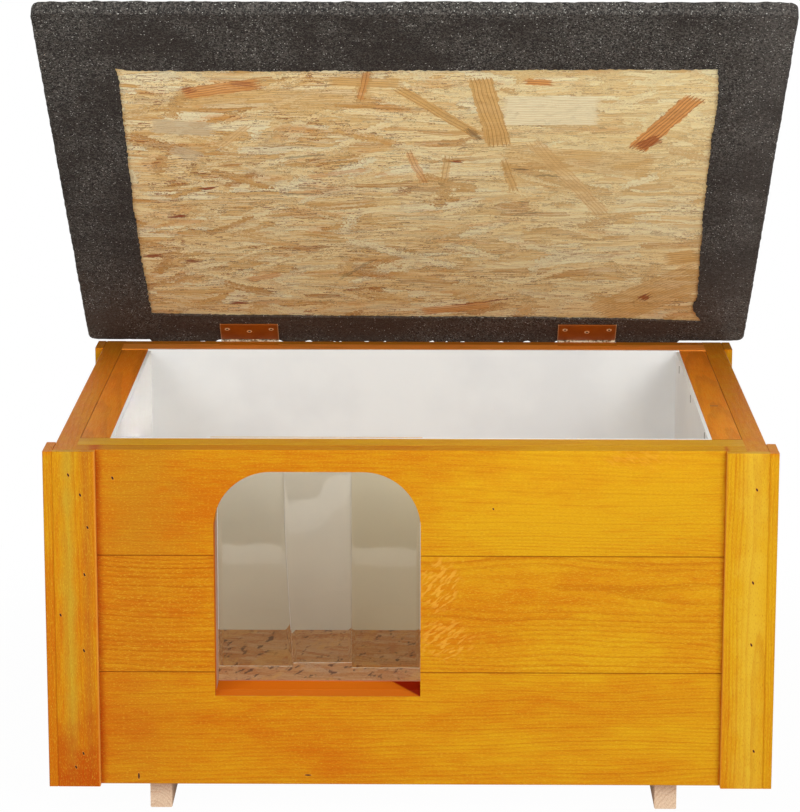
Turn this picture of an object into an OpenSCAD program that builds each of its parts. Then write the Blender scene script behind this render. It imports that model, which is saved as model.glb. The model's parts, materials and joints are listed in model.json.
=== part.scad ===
// Outdoor cat house: an insulated wooden box with a hinged, felt-wrapped roof lid
// and an arched doorway closed by three hanging clear strips. Millimetres, +Z up.
// The origin is on the ground, under the middle of the house with its lid as drawn.
// The front, with the doorway, faces -Y.

/* [Box] */
// Overall width, over the corner trims
box_w = 720; // [640:1:900]
// Overall depth, over the corner trims
box_d = 572; // [500:1:760]
// Height of the walls, without the ground gap
wall_h = 343; // [300:1:420]
// Clear height between the ground and the walls
ground_gap = 32; // [15:1:60]
// Thickness of the outer boards
board_t = 22; // [16:0.5:28]
// Height of a full tongue-and-groove board, tongue left out
board_cover = 119.5; // [100:0.5:130]
// Height of the lowest board, which is ripped down
bottom_board_h = 116.5; // [100:0.5:125]
// Thickness of the wall cavity, with its rails and insulation
cavity_t = 30; // [20:1:45]
// Thickness of the white inner liner
liner_t = 3.5; // [2:0.1:6]
// Height of the top rails on the sides and at the rear
rail_h = 30; // [20:1:45]
// How far the rear rail and rear liner stand above the walls
rear_up = 1.2; // [0:0.1:1.4]

/* [Board joints] */
// Thickness of a board's tongue
tongue_t = 6; // [4:0.5:8]
// Height of a board's tongue
tongue_h = 6; // [4:0.5:8]
// Play of the tongue in its groove, on each side
tongue_play = 0.3; // [0.1:0.05:0.5]
// Bevel at each visible board seam
seam_bevel = 1; // [0.4:0.1:2]
// Planed edge on battens, rails and trims
ease = 0.8; // [0.3:0.1:1.5]

/* [Corner trims] */
// Thickness of the corner trims
trim_t = 9; // [6:0.5:12]
// Width of the corner trims
trim_w = 42; // [35:1:60]

/* [Floor] */
// Thickness of the floor panel
floor_t = 15; // [10:1:22]
// Height of the floor panel's underside above the walls' lower edge
floor_up = 2; // [0:0.5:6]
// Width of a skid
skid_w = 22; // [18:1:40]
// Centre of the left skid, from the middle of the box
skid_left = 251; // [180:1:270]
// Centre of the right skid, from the middle of the box
skid_right = 257; // [180:1:270]

/* [Doorway] */
// Clear width of the doorway
door_w = 204; // [170:1:230]
// Clear height of the doorway
door_h = 229; // [200:1:240]
// Radius of the doorway's upper corners
door_r = 57; // [30:1:80]
// Height of the sill above the walls' lower edge
sill_h = 92; // [75:1:94]
// Distance of the doorway's middle to the left of the middle of the box
door_left = 92; // [20:1:110]
// Width of the posts beside the doorway
jamb_w = 30; // [20:1:45]
// Height of the batten under the sill
sill_batten_h = 30; // [20:1:40]

/* [Strips] */
// Thickness of a clear strip
strip_t = 2; // [1.5:0.1:3]
// Gap between neighbouring strips
strip_gap = 1; // [0.6:0.1:3]
// Gap between the strips and the left side of the doorway
strip_left_gap = 1.5; // [1:0.1:5]
// Gap between the strips and the right side of the doorway
strip_right_gap = 6.5; // [1:0.1:8]
// Distance of the first seam from the doorway's left side
first_seam = 72; // [50:0.5:80]
// Distance of the second seam from the doorway's left side
second_seam = 134.5; // [115:0.5:150]
// Gap between the sill and the strips
strip_lift = 13; // [6:0.5:20]
// Clearance where a hanging flap bends away from its clamped head
bend_clear = 0.3; // [0.3:0.05:0.8]
// Thickness of the batten that clamps the strips
clamp_t = 12; // [8:1:18]
// Clearance above and below the clamp batten
clamp_gap = 2; // [1:0.5:3]
// How far the clamp batten runs past the strips at each end
clamp_over = 8; // [4:1:15]
// Radius of a clamp screw's pan head
pan_r = 3.4; // [2.5:0.1:4]
// Radius of a pan head's flat crown
pan_crown_r = 2.2; // [1.5:0.1:2.4]
// Height of a clamp screw's pan head
pan_h = 1.7; // [1.2:0.1:2.2]
// Length of a clamp screw under its head
clamp_screw_l = 30; // [20:1:45]

/* [Lid] */
// Overall width of the lid
lid_w = 748; // [724:1:940]
// Overall length of the lid from its front edge to its rear edge
lid_l = 647; // [585:1:800]
// How far the lid's rear edge reaches behind the hinge pins
lid_rear = 3; // [3:0.5:4.5]
// Thickness of the lid's strand board
lid_board_t = 10; // [8:1:18]
// Thickness of the roofing felt
felt_t = 3; // [2:0.1:3]
// Rounding of the felt where it turns over an edge
felt_round = 3; // [2:0.1:3]
// Rounding of the lid's corners, seen from above
lid_corner_r = 8; // [5:1:15]
// Width of the felt folded under at the front
fold_front = 94; // [60:1:120]
// Width of the felt folded under at the left, at the front end
fold_left_front = 80; // [50:1:110]
// Width of the felt folded under at the left, at the rear end
fold_left_rear = 78; // [50:1:110]
// Width of the felt folded under at the right, at the front end
fold_right_front = 69; // [45:1:110]
// Width of the felt folded under at the right, at the rear end
fold_right_rear = 50; // [45:1:110]
// Width of the felt folded under at the rear, at the left end
fold_rear_left = 65; // [45:1:90]
// Width of the felt folded under at the rear, at the right end
fold_rear_right = 51; // [45:1:90]
// Waviness of the felt's cut edge
cut_wave = 1.2; // [0:0.1:2.5]
// Angle at which the lid is drawn, 0 when it lies closed
lid_open = 40.5; // [0:0.5:60]
// Angle at which the lid leans on the rear trims
lid_full = 105; // [95:1:110]
// Clearance between the leaning lid and the rear trims
lean_clear = 0.4; // [0.3:0.05:1]

/* [Hinges] */
// Centre of the left hinge, from the middle of the box
hinge_left = 187; // [120:1:230]
// Centre of the right hinge, from the middle of the box
hinge_right = 197; // [120:1:230]
// Length of a hinge
hinge_l = 66; // [50:1:90]
// Number of knuckles on a hinge
knuckles = 6; // [4:1:8]
// Gap between neighbouring knuckles
knuckle_gap = 0.3; // [0.3:0.05:0.5]
// Reach of a leaf from the pin's centre
leaf_w = 36; // [30:1:45]
// Thickness of a leaf
leaf_t = 1.5; // [1.2:0.1:1.8]
// Outer diameter of the knuckles
knuckle_d = 5.5; // [4.5:0.1:6.5]
// Diameter of the hinge pin
pin_d = 2.5; // [2:0.1:3]
// Radial running clearance of the pin in the knuckles
pin_play = 0.05; // [0.02:0.01:0.09]
// Clearance between a knuckle and the face beside it
knuckle_clear = 0.3; // [0.3:0.05:0.6]
// Clearance round a lid leaf in its rebate in the rear rail
rebate_play = 0.5; // [0.3:0.1:1]
// Pitch of the leaf screws
screw_pitch = 25; // [18:0.5:28]
// Distance of the outer leaf screws from the pin
screw_far = 26; // [22:0.5:30]
// Distance of the middle leaf screw from the pin
screw_near = 21; // [15:0.5:26]
// Radius of a leaf screw's shank
screw_r = 1.5; // [1:0.1:2]
// Radius of a leaf screw's countersunk head
screw_head_r = 3; // [2.5:0.1:3.6]
// Length of a leaf screw
screw_l = 12; // [8:1:16]
// Clearance of a screw in its hole
screw_play = 0.06; // [0.03:0.01:0.1]

/* [Hidden] */
$fn = 48;
// Overshoot of a cutting tool past the face that it leaves
over = 1;

// Heights
z_wall = ground_gap;
z_top = z_wall + wall_h;
z_floor_under = z_wall + floor_up;
z_floor = z_floor_under + floor_t;
z_seam_1 = z_wall + bottom_board_h;
z_seam_2 = z_seam_1 + board_cover;
z_sill = z_wall + sill_h;
z_door_top = z_sill + door_h;
z_spring = z_door_top - door_r;
z_rail = z_top - rail_h;
z_rear_top = z_top + rear_up;

// Widths, from the middle out
x_trim = box_w / 2;
x_board = x_trim - trim_t;
x_cavity = x_board - board_t;
x_liner = x_cavity - cavity_t;
x_room = x_liner - liner_t;
door_x0 = -door_left - door_w / 2;
door_x1 = -door_left + door_w / 2;

// Hinge pin's line, and the lid's underside above it when the lid lies closed
knuckle_r = knuckle_d / 2;
pin_out = knuckle_r + knuckle_clear;
leaf_under = pin_out - leaf_t;
pin_drop = leaf_under - knuckle_clear;
z_pin = z_top - pin_drop;
lid_t = lid_board_t + 2 * felt_t;

// Depths, from the front face back; the lid's rear edge reaches furthest
pin_depth = box_d - trim_t + pin_out;
lid_reach = (pin_out + lid_t - felt_round) * sin(lid_open) + felt_round;
rear_reach = max(pin_depth + lid_reach, box_d);
y_face = -rear_reach / 2;
y_board = y_face + trim_t;
y_cavity = y_board + board_t;
y_liner = y_cavity + cavity_t;
y_room = y_liner + liner_t;
y_rear = y_face + box_d;
y_rear_board = y_rear - trim_t;
y_rear_cavity = y_rear_board - board_t;
y_rear_liner = y_rear_cavity - cavity_t;
y_rear_room = y_rear_liner - liner_t;
y_pin = y_face + pin_depth;

// Top of the rear face trims, low enough for the lid's rear edge to lean on at lid_full
edge_arm = pin_out + felt_round;
edge_slope = cos(lid_full) / sin(lid_full);
edge_y = edge_arm * sin(lid_full);
edge_z = edge_arm * cos(lid_full) - felt_round / sin(lid_full);
trim_stop = edge_z + (trim_t - pin_out - edge_y) * edge_slope - lean_clear;
z_rear_trim = z_pin + trim_stop;

// Strips, from left to right, and the line on which their flaps bend
strip_x = [door_x0 + strip_left_gap, door_x0 + first_seam, door_x0 + second_seam, door_x1 - strip_right_gap];
z_bend = z_spring;
z_strip_low = z_sill + strip_lift;
z_head_low = z_bend + strip_t / 2 + bend_clear;
z_clamp = z_door_top + clamp_gap;
z_head_top = z_top - clamp_gap;

pine = [0.85, 0.55, 0.15];
raw_pine = [0.86, 0.74, 0.52];
strand_board = [0.83, 0.66, 0.42];
liner_white = [0.93, 0.93, 0.91];
foam_white = [0.97, 0.97, 0.97];
felt_grey = [0.24, 0.25, 0.26];
leaf_brown = [0.55, 0.27, 0.08];
zinc = [0.75, 0.75, 0.72];
clear_grey = [0.8, 0.82, 0.8, 0.5];

// Cross-section of a batten with its four long edges planed
function eased(w, h) = [
    [ease, 0], [w - ease, 0], [w, ease], [w, h - ease],
    [w - ease, h], [ease, h], [0, h - ease], [0, ease]
];

// Battens that run up, across and back from their lowest corner
module upright(w, d, h) linear_extrude(h) polygon(eased(w, d));
module batten_across(l, d, h) rotate([90, 0, 90]) linear_extrude(l) polygon(eased(d, h));
module batten_back(w, l, h) translate([0, l, 0]) rotate([90, 0, 0]) linear_extrude(l) polygon(eased(w, h));

// Cross-section of an outer board: its outer face on the left, a tongue above and a groove below
tongue_near = (board_t - tongue_t) / 2;
tongue_far = tongue_near + tongue_t;
groove_near = tongue_near - tongue_play;
groove_far = tongue_far + tongue_play;
groove_h = tongue_h + 2 * tongue_play;
function groove_points() = [[groove_near, 0], [groove_near, groove_h], [groove_far, groove_h], [groove_far, 0]];
function tongue_points(h) = [
    [tongue_far, h], [tongue_far, h + tongue_h], [tongue_near, h + tongue_h], [tongue_near, h]
];
function board_outline(h, tongue, groove) = concat(
    [[0, seam_bevel], [seam_bevel, 0]],
    groove ? groove_points() : [],
    [[board_t, 0], [board_t, h]],
    tongue ? tongue_points(h) : [],
    [[seam_bevel, h], [0, h - seam_bevel]]
);

// A board that runs along +X, its outer face on the plane y = 0, facing -Y
module board(l, h, tongue, groove) {
    rotate([90, 0, 90]) linear_extrude(l) polygon(board_outline(h, tongue, groove));
}

// The three courses of a wall, counted from the bottom
course_z = [z_wall, z_seam_1, z_seam_2];
course_h = [bottom_board_h, board_cover, z_top - z_seam_2];
module course(l, i) translate([0, 0, course_z[i]]) board(l, course_h[i], i < 2, i > 0);
module front_course(x0, x1, i) translate([x0, y_board, 0]) course(x1 - x0, i);
module rear_course(i) translate([x_cavity, y_rear_board, 0]) rotate([0, 0, 180]) course(2 * x_cavity, i);
module left_course(i) translate([-x_board, y_rear_board, 0]) rotate([0, 0, -90]) course(y_rear_board - y_board, i);
module right_course(i) translate([x_board, y_board, 0]) rotate([0, 0, 90]) course(y_rear_board - y_board, i);

// The doorway as a cutting tool, from y0 to y1: straight sides, round upper corners
module doorway(y0, y1) {
    translate([door_x0, y0, z_sill]) cube([door_w, y1 - y0, z_spring - z_sill]);
    translate([door_x0 + door_r, y0, z_sill]) cube([door_w - 2 * door_r, y1 - y0, door_h]);
    for (x = [door_x0 + door_r, door_x1 - door_r])
        translate([x, y0, z_spring]) rotate([-90, 0, 0]) cylinder(h = y1 - y0, r = door_r);
}

// Outer boards
module front_board_top() color(pine) difference() {
    front_course(-x_cavity, x_cavity, 2);
    doorway(y_board - over, y_cavity + over);
}
module front_board_middle_left() color(pine) front_course(-x_cavity, door_x0, 1);
module front_board_middle_right() color(pine) front_course(door_x1, x_cavity, 1);
module front_board_bottom() color(pine) difference() {
    front_course(-x_cavity, x_cavity, 0);
    translate([door_x0, y_board - over, z_sill]) cube([door_w, board_t + 2 * over, wall_h]);
}
module rear_board_top() color(pine) difference() {
    rear_course(2);
    body_screws(screw_play);
}
module rear_board_middle() color(pine) rear_course(1);
module rear_board_bottom() color(pine) rear_course(0);
module left_board_top() color(pine) left_course(2);
module left_board_middle() color(pine) left_course(1);
module left_board_bottom() color(pine) left_course(0);
module right_board_top() color(pine) right_course(2);
module right_board_middle() color(pine) right_course(1);
module right_board_bottom() color(pine) right_course(0);

// Corner trims. At the front the side trim covers the face trim's edge; at the rear it is the other way round
module face_trim(x, y, h, w) color(pine) translate([x, y, z_wall]) upright(w, trim_t, h);
module side_trim(x, y) color(pine) translate([x, y, z_wall]) upright(trim_t, trim_w, wall_h);
rear_trim_h = z_rear_trim - z_wall;
module front_left_face_trim() face_trim(-x_board, y_face, wall_h, trim_w);
module front_right_face_trim() face_trim(x_board - trim_w, y_face, wall_h, trim_w);
module front_left_side_trim() side_trim(-x_trim, y_face);
module front_right_side_trim() side_trim(x_board, y_face);
module rear_left_face_trim() face_trim(-x_trim, y_rear_board, rear_trim_h, trim_w + trim_t);
module rear_right_face_trim() face_trim(x_board - trim_w, y_rear_board, rear_trim_h, trim_w + trim_t);
module rear_left_side_trim() side_trim(-x_trim, y_rear_board - trim_w);
module rear_right_side_trim() side_trim(x_board, y_rear_board - trim_w);

// Rails along the top of the walls; the front one is a deep lintel with the arch cut into it
module front_lintel_rail() color(pine) difference() {
    translate([-x_cavity, y_cavity, z_spring]) batten_across(2 * x_cavity, cavity_t, z_top - z_spring);
    doorway(y_cavity - over, y_liner + over);
    clamp_screws(screw_play);
}
module rear_top_rail() color(pine) difference() {
    translate([-x_cavity, y_rear_liner, z_rail]) batten_across(2 * x_cavity, cavity_t, z_rear_top - z_rail);
    leaf_rebates();
}
module side_rail(x) color(pine) translate([x, y_liner, z_rail]) batten_back(cavity_t, y_rear_liner - y_liner, rail_h);
module left_top_rail() side_rail(-x_cavity);
module right_top_rail() side_rail(x_liner);

// Corner posts inside the walls, and the posts and batten round the doorway
module post(x, y, z1, w) color(raw_pine) translate([x, y, z_floor]) upright(w, cavity_t, z1 - z_floor);
module front_left_post() post(-x_cavity, y_cavity, z_spring, cavity_t);
module front_right_post() post(x_liner, y_cavity, z_spring, cavity_t);
module rear_left_post() post(-x_cavity, y_rear_liner, z_rail, cavity_t);
module rear_right_post() post(x_liner, y_rear_liner, z_rail, cavity_t);
module doorway_left_jamb() post(door_x0 - jamb_w, y_cavity, z_spring, jamb_w);
module doorway_right_jamb() post(door_x1, y_cavity, z_spring, jamb_w);
module doorway_sill_batten() color(pine)
    translate([door_x0, y_cavity, z_sill - sill_batten_h]) batten_across(door_w, cavity_t, sill_batten_h);

// White liner panels
module front_liner() color(liner_white) difference() {
    translate([-x_liner, y_liner, z_floor]) cube([2 * x_liner, liner_t, z_top - z_floor]);
    doorway(y_liner - over, y_room + over);
    clamp_screws(screw_play);
}
module rear_liner() color(liner_white) difference() {
    translate([-x_liner, y_rear_room, z_floor]) cube([2 * x_liner, liner_t, z_rear_top - z_floor]);
    leaf_rebates();
}
module side_liner(x) color(liner_white)
    translate([x, y_room, z_floor]) cube([liner_t, y_rear_room - y_room, z_top - z_floor]);
module left_liner() side_liner(-x_liner);
module right_liner() side_liner(x_room);

// Foam panels that fill the wall cavities; the front one is cut round the doorway's posts
module foam(x0, x1, y0, y1, z1) translate([x0, y0, z_floor]) cube([x1 - x0, y1 - y0, z1 - z_floor]);
module front_insulation() color(foam_white) {
    foam(-x_liner, door_x0 - jamb_w, y_cavity, y_liner, z_spring);
    foam(door_x1 + jamb_w, x_liner, y_cavity, y_liner, z_spring);
    foam(door_x0, door_x1, y_cavity, y_liner, z_sill - sill_batten_h);
}
module rear_insulation() color(foam_white) foam(-x_liner, x_liner, y_rear_liner, y_rear_cavity, z_rail);
module left_insulation() color(foam_white) foam(-x_cavity, -x_liner, y_liner, y_rear_liner, z_rail);
module right_insulation() color(foam_white) foam(x_liner, x_cavity, y_liner, y_rear_liner, z_rail);

// Floor and skids
floor_l = y_rear_cavity - y_cavity;
module floor_panel() color(strand_board)
    translate([-x_cavity, y_cavity, z_floor_under]) cube([2 * x_cavity, floor_l, floor_t]);
module skid(x) color(raw_pine) translate([x - skid_w / 2, y_cavity, 0]) batten_back(skid_w, floor_l, z_floor_under);
module left_skid() skid(-skid_left);
module right_skid() skid(skid_right);

// Clear strips: a head clamped flat against the liner, and a flap that swings on the bend line
function strip_x0(i) = strip_x[i] + (i > 0 ? strip_gap / 2 : 0);
function strip_w(i) = strip_x[i + 1] - (i < 2 ? strip_gap / 2 : 0) - strip_x0(i);
module strip_span(i, z0, z1) translate([strip_x0(i), y_room, z0]) cube([strip_w(i), strip_t, z1 - z0]);
module strip_head(i) color(clear_grey) difference() {
    strip_span(i, z_head_low, z_head_top);
    clamp_screws(screw_play);
}
module strip_flap(i) color(clear_grey) {
    strip_span(i, z_strip_low, z_bend);
    translate([strip_x0(i), y_room + strip_t / 2, z_bend]) rotate([0, 90, 0]) cylinder(h = strip_w(i), r = strip_t / 2);
}
module strip_left_head() strip_head(0);
module strip_middle_head() strip_head(1);
module strip_right_head() strip_head(2);
module strip_left_flap() strip_flap(0);
module strip_middle_flap() strip_flap(1);
module strip_right_flap() strip_flap(2);

// Batten and screws that clamp the strips above the doorway
y_clamp = y_room + strip_t;
clamp_x0 = strip_x[0] - clamp_over;
clamp_l = strip_x[3] + clamp_over - clamp_x0;
module strip_clamp_batten() color(raw_pine) difference() {
    translate([clamp_x0, y_clamp, z_clamp]) batten_across(clamp_l, clamp_t, z_head_top - z_clamp);
    clamp_screws(screw_play);
}
module clamp_screws(play) {
    for (i = [0:2], side = [1, 3]) {
        x = strip_x[i] + (strip_x[i + 1] - strip_x[i]) * side / 4;
        translate([x, y_clamp + clamp_t, (z_clamp + z_head_top) / 2]) {
            rotate([90, 0, 0]) cylinder(h = clamp_screw_l + play, r = screw_r + play);
            rotate([-90, 0, 0]) cylinder(h = pan_h, r1 = pan_r, r2 = pan_crown_r);
        }
    }
}
module strip_clamp_screws() color(zinc) clamp_screws(0);

// The lid's pieces are drawn with the pin's line as their origin, lid closed, front towards -Y
module on_lid() translate([0, y_pin, z_pin]) rotate([-lid_open, 0, 0]) children();
lid_front = lid_rear - lid_l;

// A bar with round long edges that runs along X
module round_bar(l, d, h, r) {
    translate([0, r, 0]) cube([l, d - 2 * r, h]);
    translate([0, 0, r]) cube([l, d, h - 2 * r]);
    for (y = [r, d - r], z = [r, h - r]) translate([0, y, z]) rotate([0, 90, 0]) cylinder(h = l, r = r);
}

// A slab with rounded corners, seen from above
module corner_slab(w, l, h, r) {
    translate([r, 0, 0]) cube([w - 2 * r, l, h]);
    translate([0, r, 0]) cube([w, l - 2 * r, h]);
    for (x = [r, w - r], y = [r, l - r]) translate([x, y, 0]) cylinder(h = h, r = r);
}

module lid_core() {
    translate([felt_t - lid_w / 2, lid_front + felt_t, pin_out + felt_t])
        corner_slab(lid_w - 2 * felt_t, lid_l - 2 * felt_t, lid_board_t, lid_corner_r - felt_t);
}
module lid_outside() intersection() {
    translate([-lid_w / 2, lid_front, pin_out]) corner_slab(lid_w, lid_l, lid_t, lid_corner_r);
    translate([-lid_w / 2, lid_front, pin_out]) round_bar(lid_w, lid_l, lid_t, felt_round);
    translate([lid_w / 2, lid_front, pin_out]) rotate([0, 0, 90]) round_bar(lid_l, lid_w, lid_t, felt_round);
}

// Cut edge of the folded felt: a four-sided window, each side a slow, uneven wave
window = [
    [fold_left_rear - lid_w / 2, lid_rear - fold_rear_left],
    [fold_left_front - lid_w / 2, lid_front + fold_front],
    [lid_w / 2 - fold_right_front, lid_front + fold_front],
    [lid_w / 2 - fold_right_rear, lid_rear - fold_rear_right]
];
wave_steps = 14;
wave_turn = 137.5;
function wavy_side(a, b) = [
    for (i = [0:wave_steps - 1])
        let (across = [a[1] - b[1], b[0] - a[0]] / norm(b - a))
        a + (b - a) * i / wave_steps + across * (i == 0 ? 0 : cut_wave * sin(i * wave_turn + a[0]))
];
module felt_window() linear_extrude(pin_out + felt_t)
    polygon([for (k = [0:3]) each wavy_side(window[k], window[(k + 1) % 4])]);

module lid_board() color(strand_board) on_lid() difference() {
    lid_core();
    lid_screws(screw_play);
}
module lid_felt() color(felt_grey) on_lid() difference() {
    lid_outside();
    lid_core();
    felt_window();
    lid_screws(screw_play);
}

// Hinges: knuckles take turns between the two leaves along one pin
knuckle_l = hinge_l / knuckles;
module knuckle_set(first) {
    for (k = [first:2:knuckles - 1])
        translate([k * knuckle_l - hinge_l / 2 + knuckle_gap / 2, 0, 0]) children();
}

// A leaf that points to -Y under the plane z = pin_out, with every other knuckle
module leaf(first) difference() {
    union() {
        translate([-hinge_l / 2, -leaf_w, leaf_under]) cube([hinge_l, leaf_w - pin_out - knuckle_clear, leaf_t]);
        knuckle_set(first) {
            translate([0, -pin_out - knuckle_clear - over, leaf_under])
                cube([knuckle_l - knuckle_gap, pin_out + knuckle_clear + over, leaf_t]);
            rotate([0, 90, 0]) cylinder(h = knuckle_l - knuckle_gap, r = knuckle_r);
        }
    }
    translate([-hinge_l, 0, 0]) rotate([0, 90, 0]) cylinder(h = 2 * hinge_l, r = pin_d / 2 + pin_play);
    leaf_screws(screw_play);
}

// The three countersunk screws of a leaf, from the leaf's free face
module leaf_screws(play) {
    for (i = [-1:1])
        translate([i * screw_pitch, i == 0 ? -screw_near : -screw_far, leaf_under]) {
            cylinder(h = leaf_t, r1 = screw_head_r + play, r2 = screw_r + play);
            cylinder(h = screw_l + play, r = screw_r + play);
        }
}

// Shallow rebates where the rear rail stands above the walls, so that the lid leaves lie down in them
hinge_x = [-hinge_left, hinge_right];
rebate_l = hinge_l + 2 * rebate_play;
rebate_w = leaf_w + rebate_play;
module leaf_rebates() for (x = hinge_x)
    translate([x - rebate_l / 2, y_pin - rebate_w, z_top]) cube([rebate_l, rebate_w, rear_up + over]);
module at_lid_hinge(i) on_lid() translate([hinge_x[i], 0, 0]) children();
// The body leaf hangs down the rear face, so its frame is turned to point -Z and face -Y
module at_body_hinge(i) translate([hinge_x[i], y_pin, z_pin]) rotate([90, 0, 0]) children();
module lid_screws(play) for (i = [0, 1]) translate([hinge_x[i], 0, 0]) leaf_screws(play);
module body_screws(play) for (i = [0, 1]) at_body_hinge(i) leaf_screws(play);
module left_hinge_body_leaf() color(leaf_brown) at_body_hinge(0) leaf(0);
module right_hinge_body_leaf() color(leaf_brown) at_body_hinge(1) leaf(0);
module left_hinge_lid_leaf() color(leaf_brown) at_lid_hinge(0) leaf(1);
module right_hinge_lid_leaf() color(leaf_brown) at_lid_hinge(1) leaf(1);
module hinge_pins() color(zinc) for (x = hinge_x)
    translate([x - hinge_l / 2, y_pin, z_pin]) rotate([0, 90, 0]) cylinder(h = hinge_l, r = pin_d / 2);
module body_hinge_screws() color(zinc) body_screws(0);
module lid_hinge_screws() color(zinc) on_lid() lid_screws(0);

front_board_top();
front_board_middle_left();
front_board_middle_right();
front_board_bottom();
rear_board_top();
rear_board_middle();
rear_board_bottom();
left_board_top();
left_board_middle();
left_board_bottom();
right_board_top();
right_board_middle();
right_board_bottom();
front_left_face_trim();
front_left_side_trim();
front_right_face_trim();
front_right_side_trim();
rear_left_face_trim();
rear_left_side_trim();
rear_right_face_trim();
rear_right_side_trim();
front_lintel_rail();
rear_top_rail();
left_top_rail();
right_top_rail();
front_left_post();
front_right_post();
rear_left_post();
rear_right_post();
doorway_left_jamb();
doorway_right_jamb();
doorway_sill_batten();
front_liner();
rear_liner();
left_liner();
right_liner();
front_insulation();
rear_insulation();
left_insulation();
right_insulation();
floor_panel();
left_skid();
right_skid();
strip_left_head();
strip_middle_head();
strip_right_head();
strip_left_flap();
strip_middle_flap();
strip_right_flap();
strip_clamp_batten();
strip_clamp_screws();
lid_board();
lid_felt();
left_hinge_body_leaf();
left_hinge_lid_leaf();
right_hinge_body_leaf();
right_hinge_lid_leaf();
hinge_pins();
body_hinge_screws();
lid_hinge_screws();
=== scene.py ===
"""Outdoor cat house: stained pine walls, a felt-wrapped strand board lid and a clear strip curtain."""
import json
import math
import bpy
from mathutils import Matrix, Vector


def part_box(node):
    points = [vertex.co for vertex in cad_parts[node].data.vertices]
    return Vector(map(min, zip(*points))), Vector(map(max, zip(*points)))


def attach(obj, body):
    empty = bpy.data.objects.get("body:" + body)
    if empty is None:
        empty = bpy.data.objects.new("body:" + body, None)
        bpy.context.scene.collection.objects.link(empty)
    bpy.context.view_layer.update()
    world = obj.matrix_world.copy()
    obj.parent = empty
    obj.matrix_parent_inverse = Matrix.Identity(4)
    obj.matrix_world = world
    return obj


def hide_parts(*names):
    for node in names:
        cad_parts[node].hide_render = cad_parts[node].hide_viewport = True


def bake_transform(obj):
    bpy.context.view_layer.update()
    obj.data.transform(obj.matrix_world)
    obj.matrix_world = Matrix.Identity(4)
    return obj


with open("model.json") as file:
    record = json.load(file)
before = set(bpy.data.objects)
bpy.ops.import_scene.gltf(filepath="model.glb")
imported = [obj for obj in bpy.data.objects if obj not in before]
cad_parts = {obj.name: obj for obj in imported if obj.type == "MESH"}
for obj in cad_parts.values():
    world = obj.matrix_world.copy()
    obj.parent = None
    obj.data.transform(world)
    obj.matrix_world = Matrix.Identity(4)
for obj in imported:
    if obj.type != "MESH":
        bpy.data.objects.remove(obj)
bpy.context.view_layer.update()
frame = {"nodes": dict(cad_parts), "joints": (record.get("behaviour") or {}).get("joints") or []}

from types import SimpleNamespace

import bpy
import numpy as np
from mathutils import Matrix, Vector

MM = 0.001
scene = bpy.context.scene


# Places read from the frame

def low(node):
    """Lowest corner of a node, in metres."""
    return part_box(node)[0]


def high(node):
    """Highest corner of a node, in metres."""
    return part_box(node)[1]


SEAMS = [low("front_board_middle_left").z, low("front_board_top").z]
WALL_TOP = high("front_board_top").z
FRONT_FACE = low("front_left_face_trim").y
BOARD_FACE = low("front_board_top").y
DOOR_RIGHT = low("front_board_middle_right").x
LEFT_TRIM_EDGE = high("front_left_face_trim").x
RIGHT_TRIM_EDGE = low("front_right_face_trim").x

HINGE = next(j for j in frame["joints"] if j["name"] == "lid_hinge")
PIN = Vector(HINGE["pos_m"])
LID_TILT = math.radians(HINGE["range_deg"][0])
LID_TURN = Matrix.Rotation(LID_TILT, 4, "X")

# The lid's own frame has its origin on the pin, x to the right, y to the rear and z up through the lid
LID_FRONT = -644 * MM
LID_REAR = 3 * MM
LID_UNDER = 3.05 * MM
LID_TOP = 19.05 * MM
FELT_THICK = 3 * MM
LID_CORNER = 10 * MM
FELT_ROUND = 3 * MM
LEFT_EDGE = -372 * MM
RIGHT_EDGE = 377 * MM

HINGE_PLACES = [(low(node).x + high(node).x) / 2 for node in ("left_hinge_lid_leaf", "right_hinge_lid_leaf")]

STRIP_TOP = high("strip_left_head").z

# The line on which a strip bends lies a little under the middle between its head and its flap
BEND_DROP = 1.15 * MM
STRIP_BEND = (high("strip_left_flap").z + low("strip_left_head").z) / 2 - BEND_DROP


def on_lid(points):
    """Turn points of the lid's own frame into the house's frame, at the lid's rest angle."""
    turn = np.array(LID_TURN.to_3x3())
    return points @ turn.T + np.array(PIN)


# Surfaces worked out with numpy

def add_object(name, data):
    """Put data into the scene as an object."""
    made = bpy.data.objects.new(name, data)
    scene.collection.objects.link(made)
    return made


def new_piece(name, points, faces, body, material, crease=40):
    """Put points and faces into a mesh at the origin, ride it on its body and give it its finish."""
    mesh = bpy.data.meshes.new(name)
    mesh.from_pydata(points.tolist(), [], faces)
    mesh.validate()
    mesh.shade_smooth()
    mesh.set_sharp_from_angle(angle=math.radians(crease))
    mesh.materials.append(material)
    piece = add_object(name, mesh)
    if body:
        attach(piece, body)
    return piece


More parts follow.
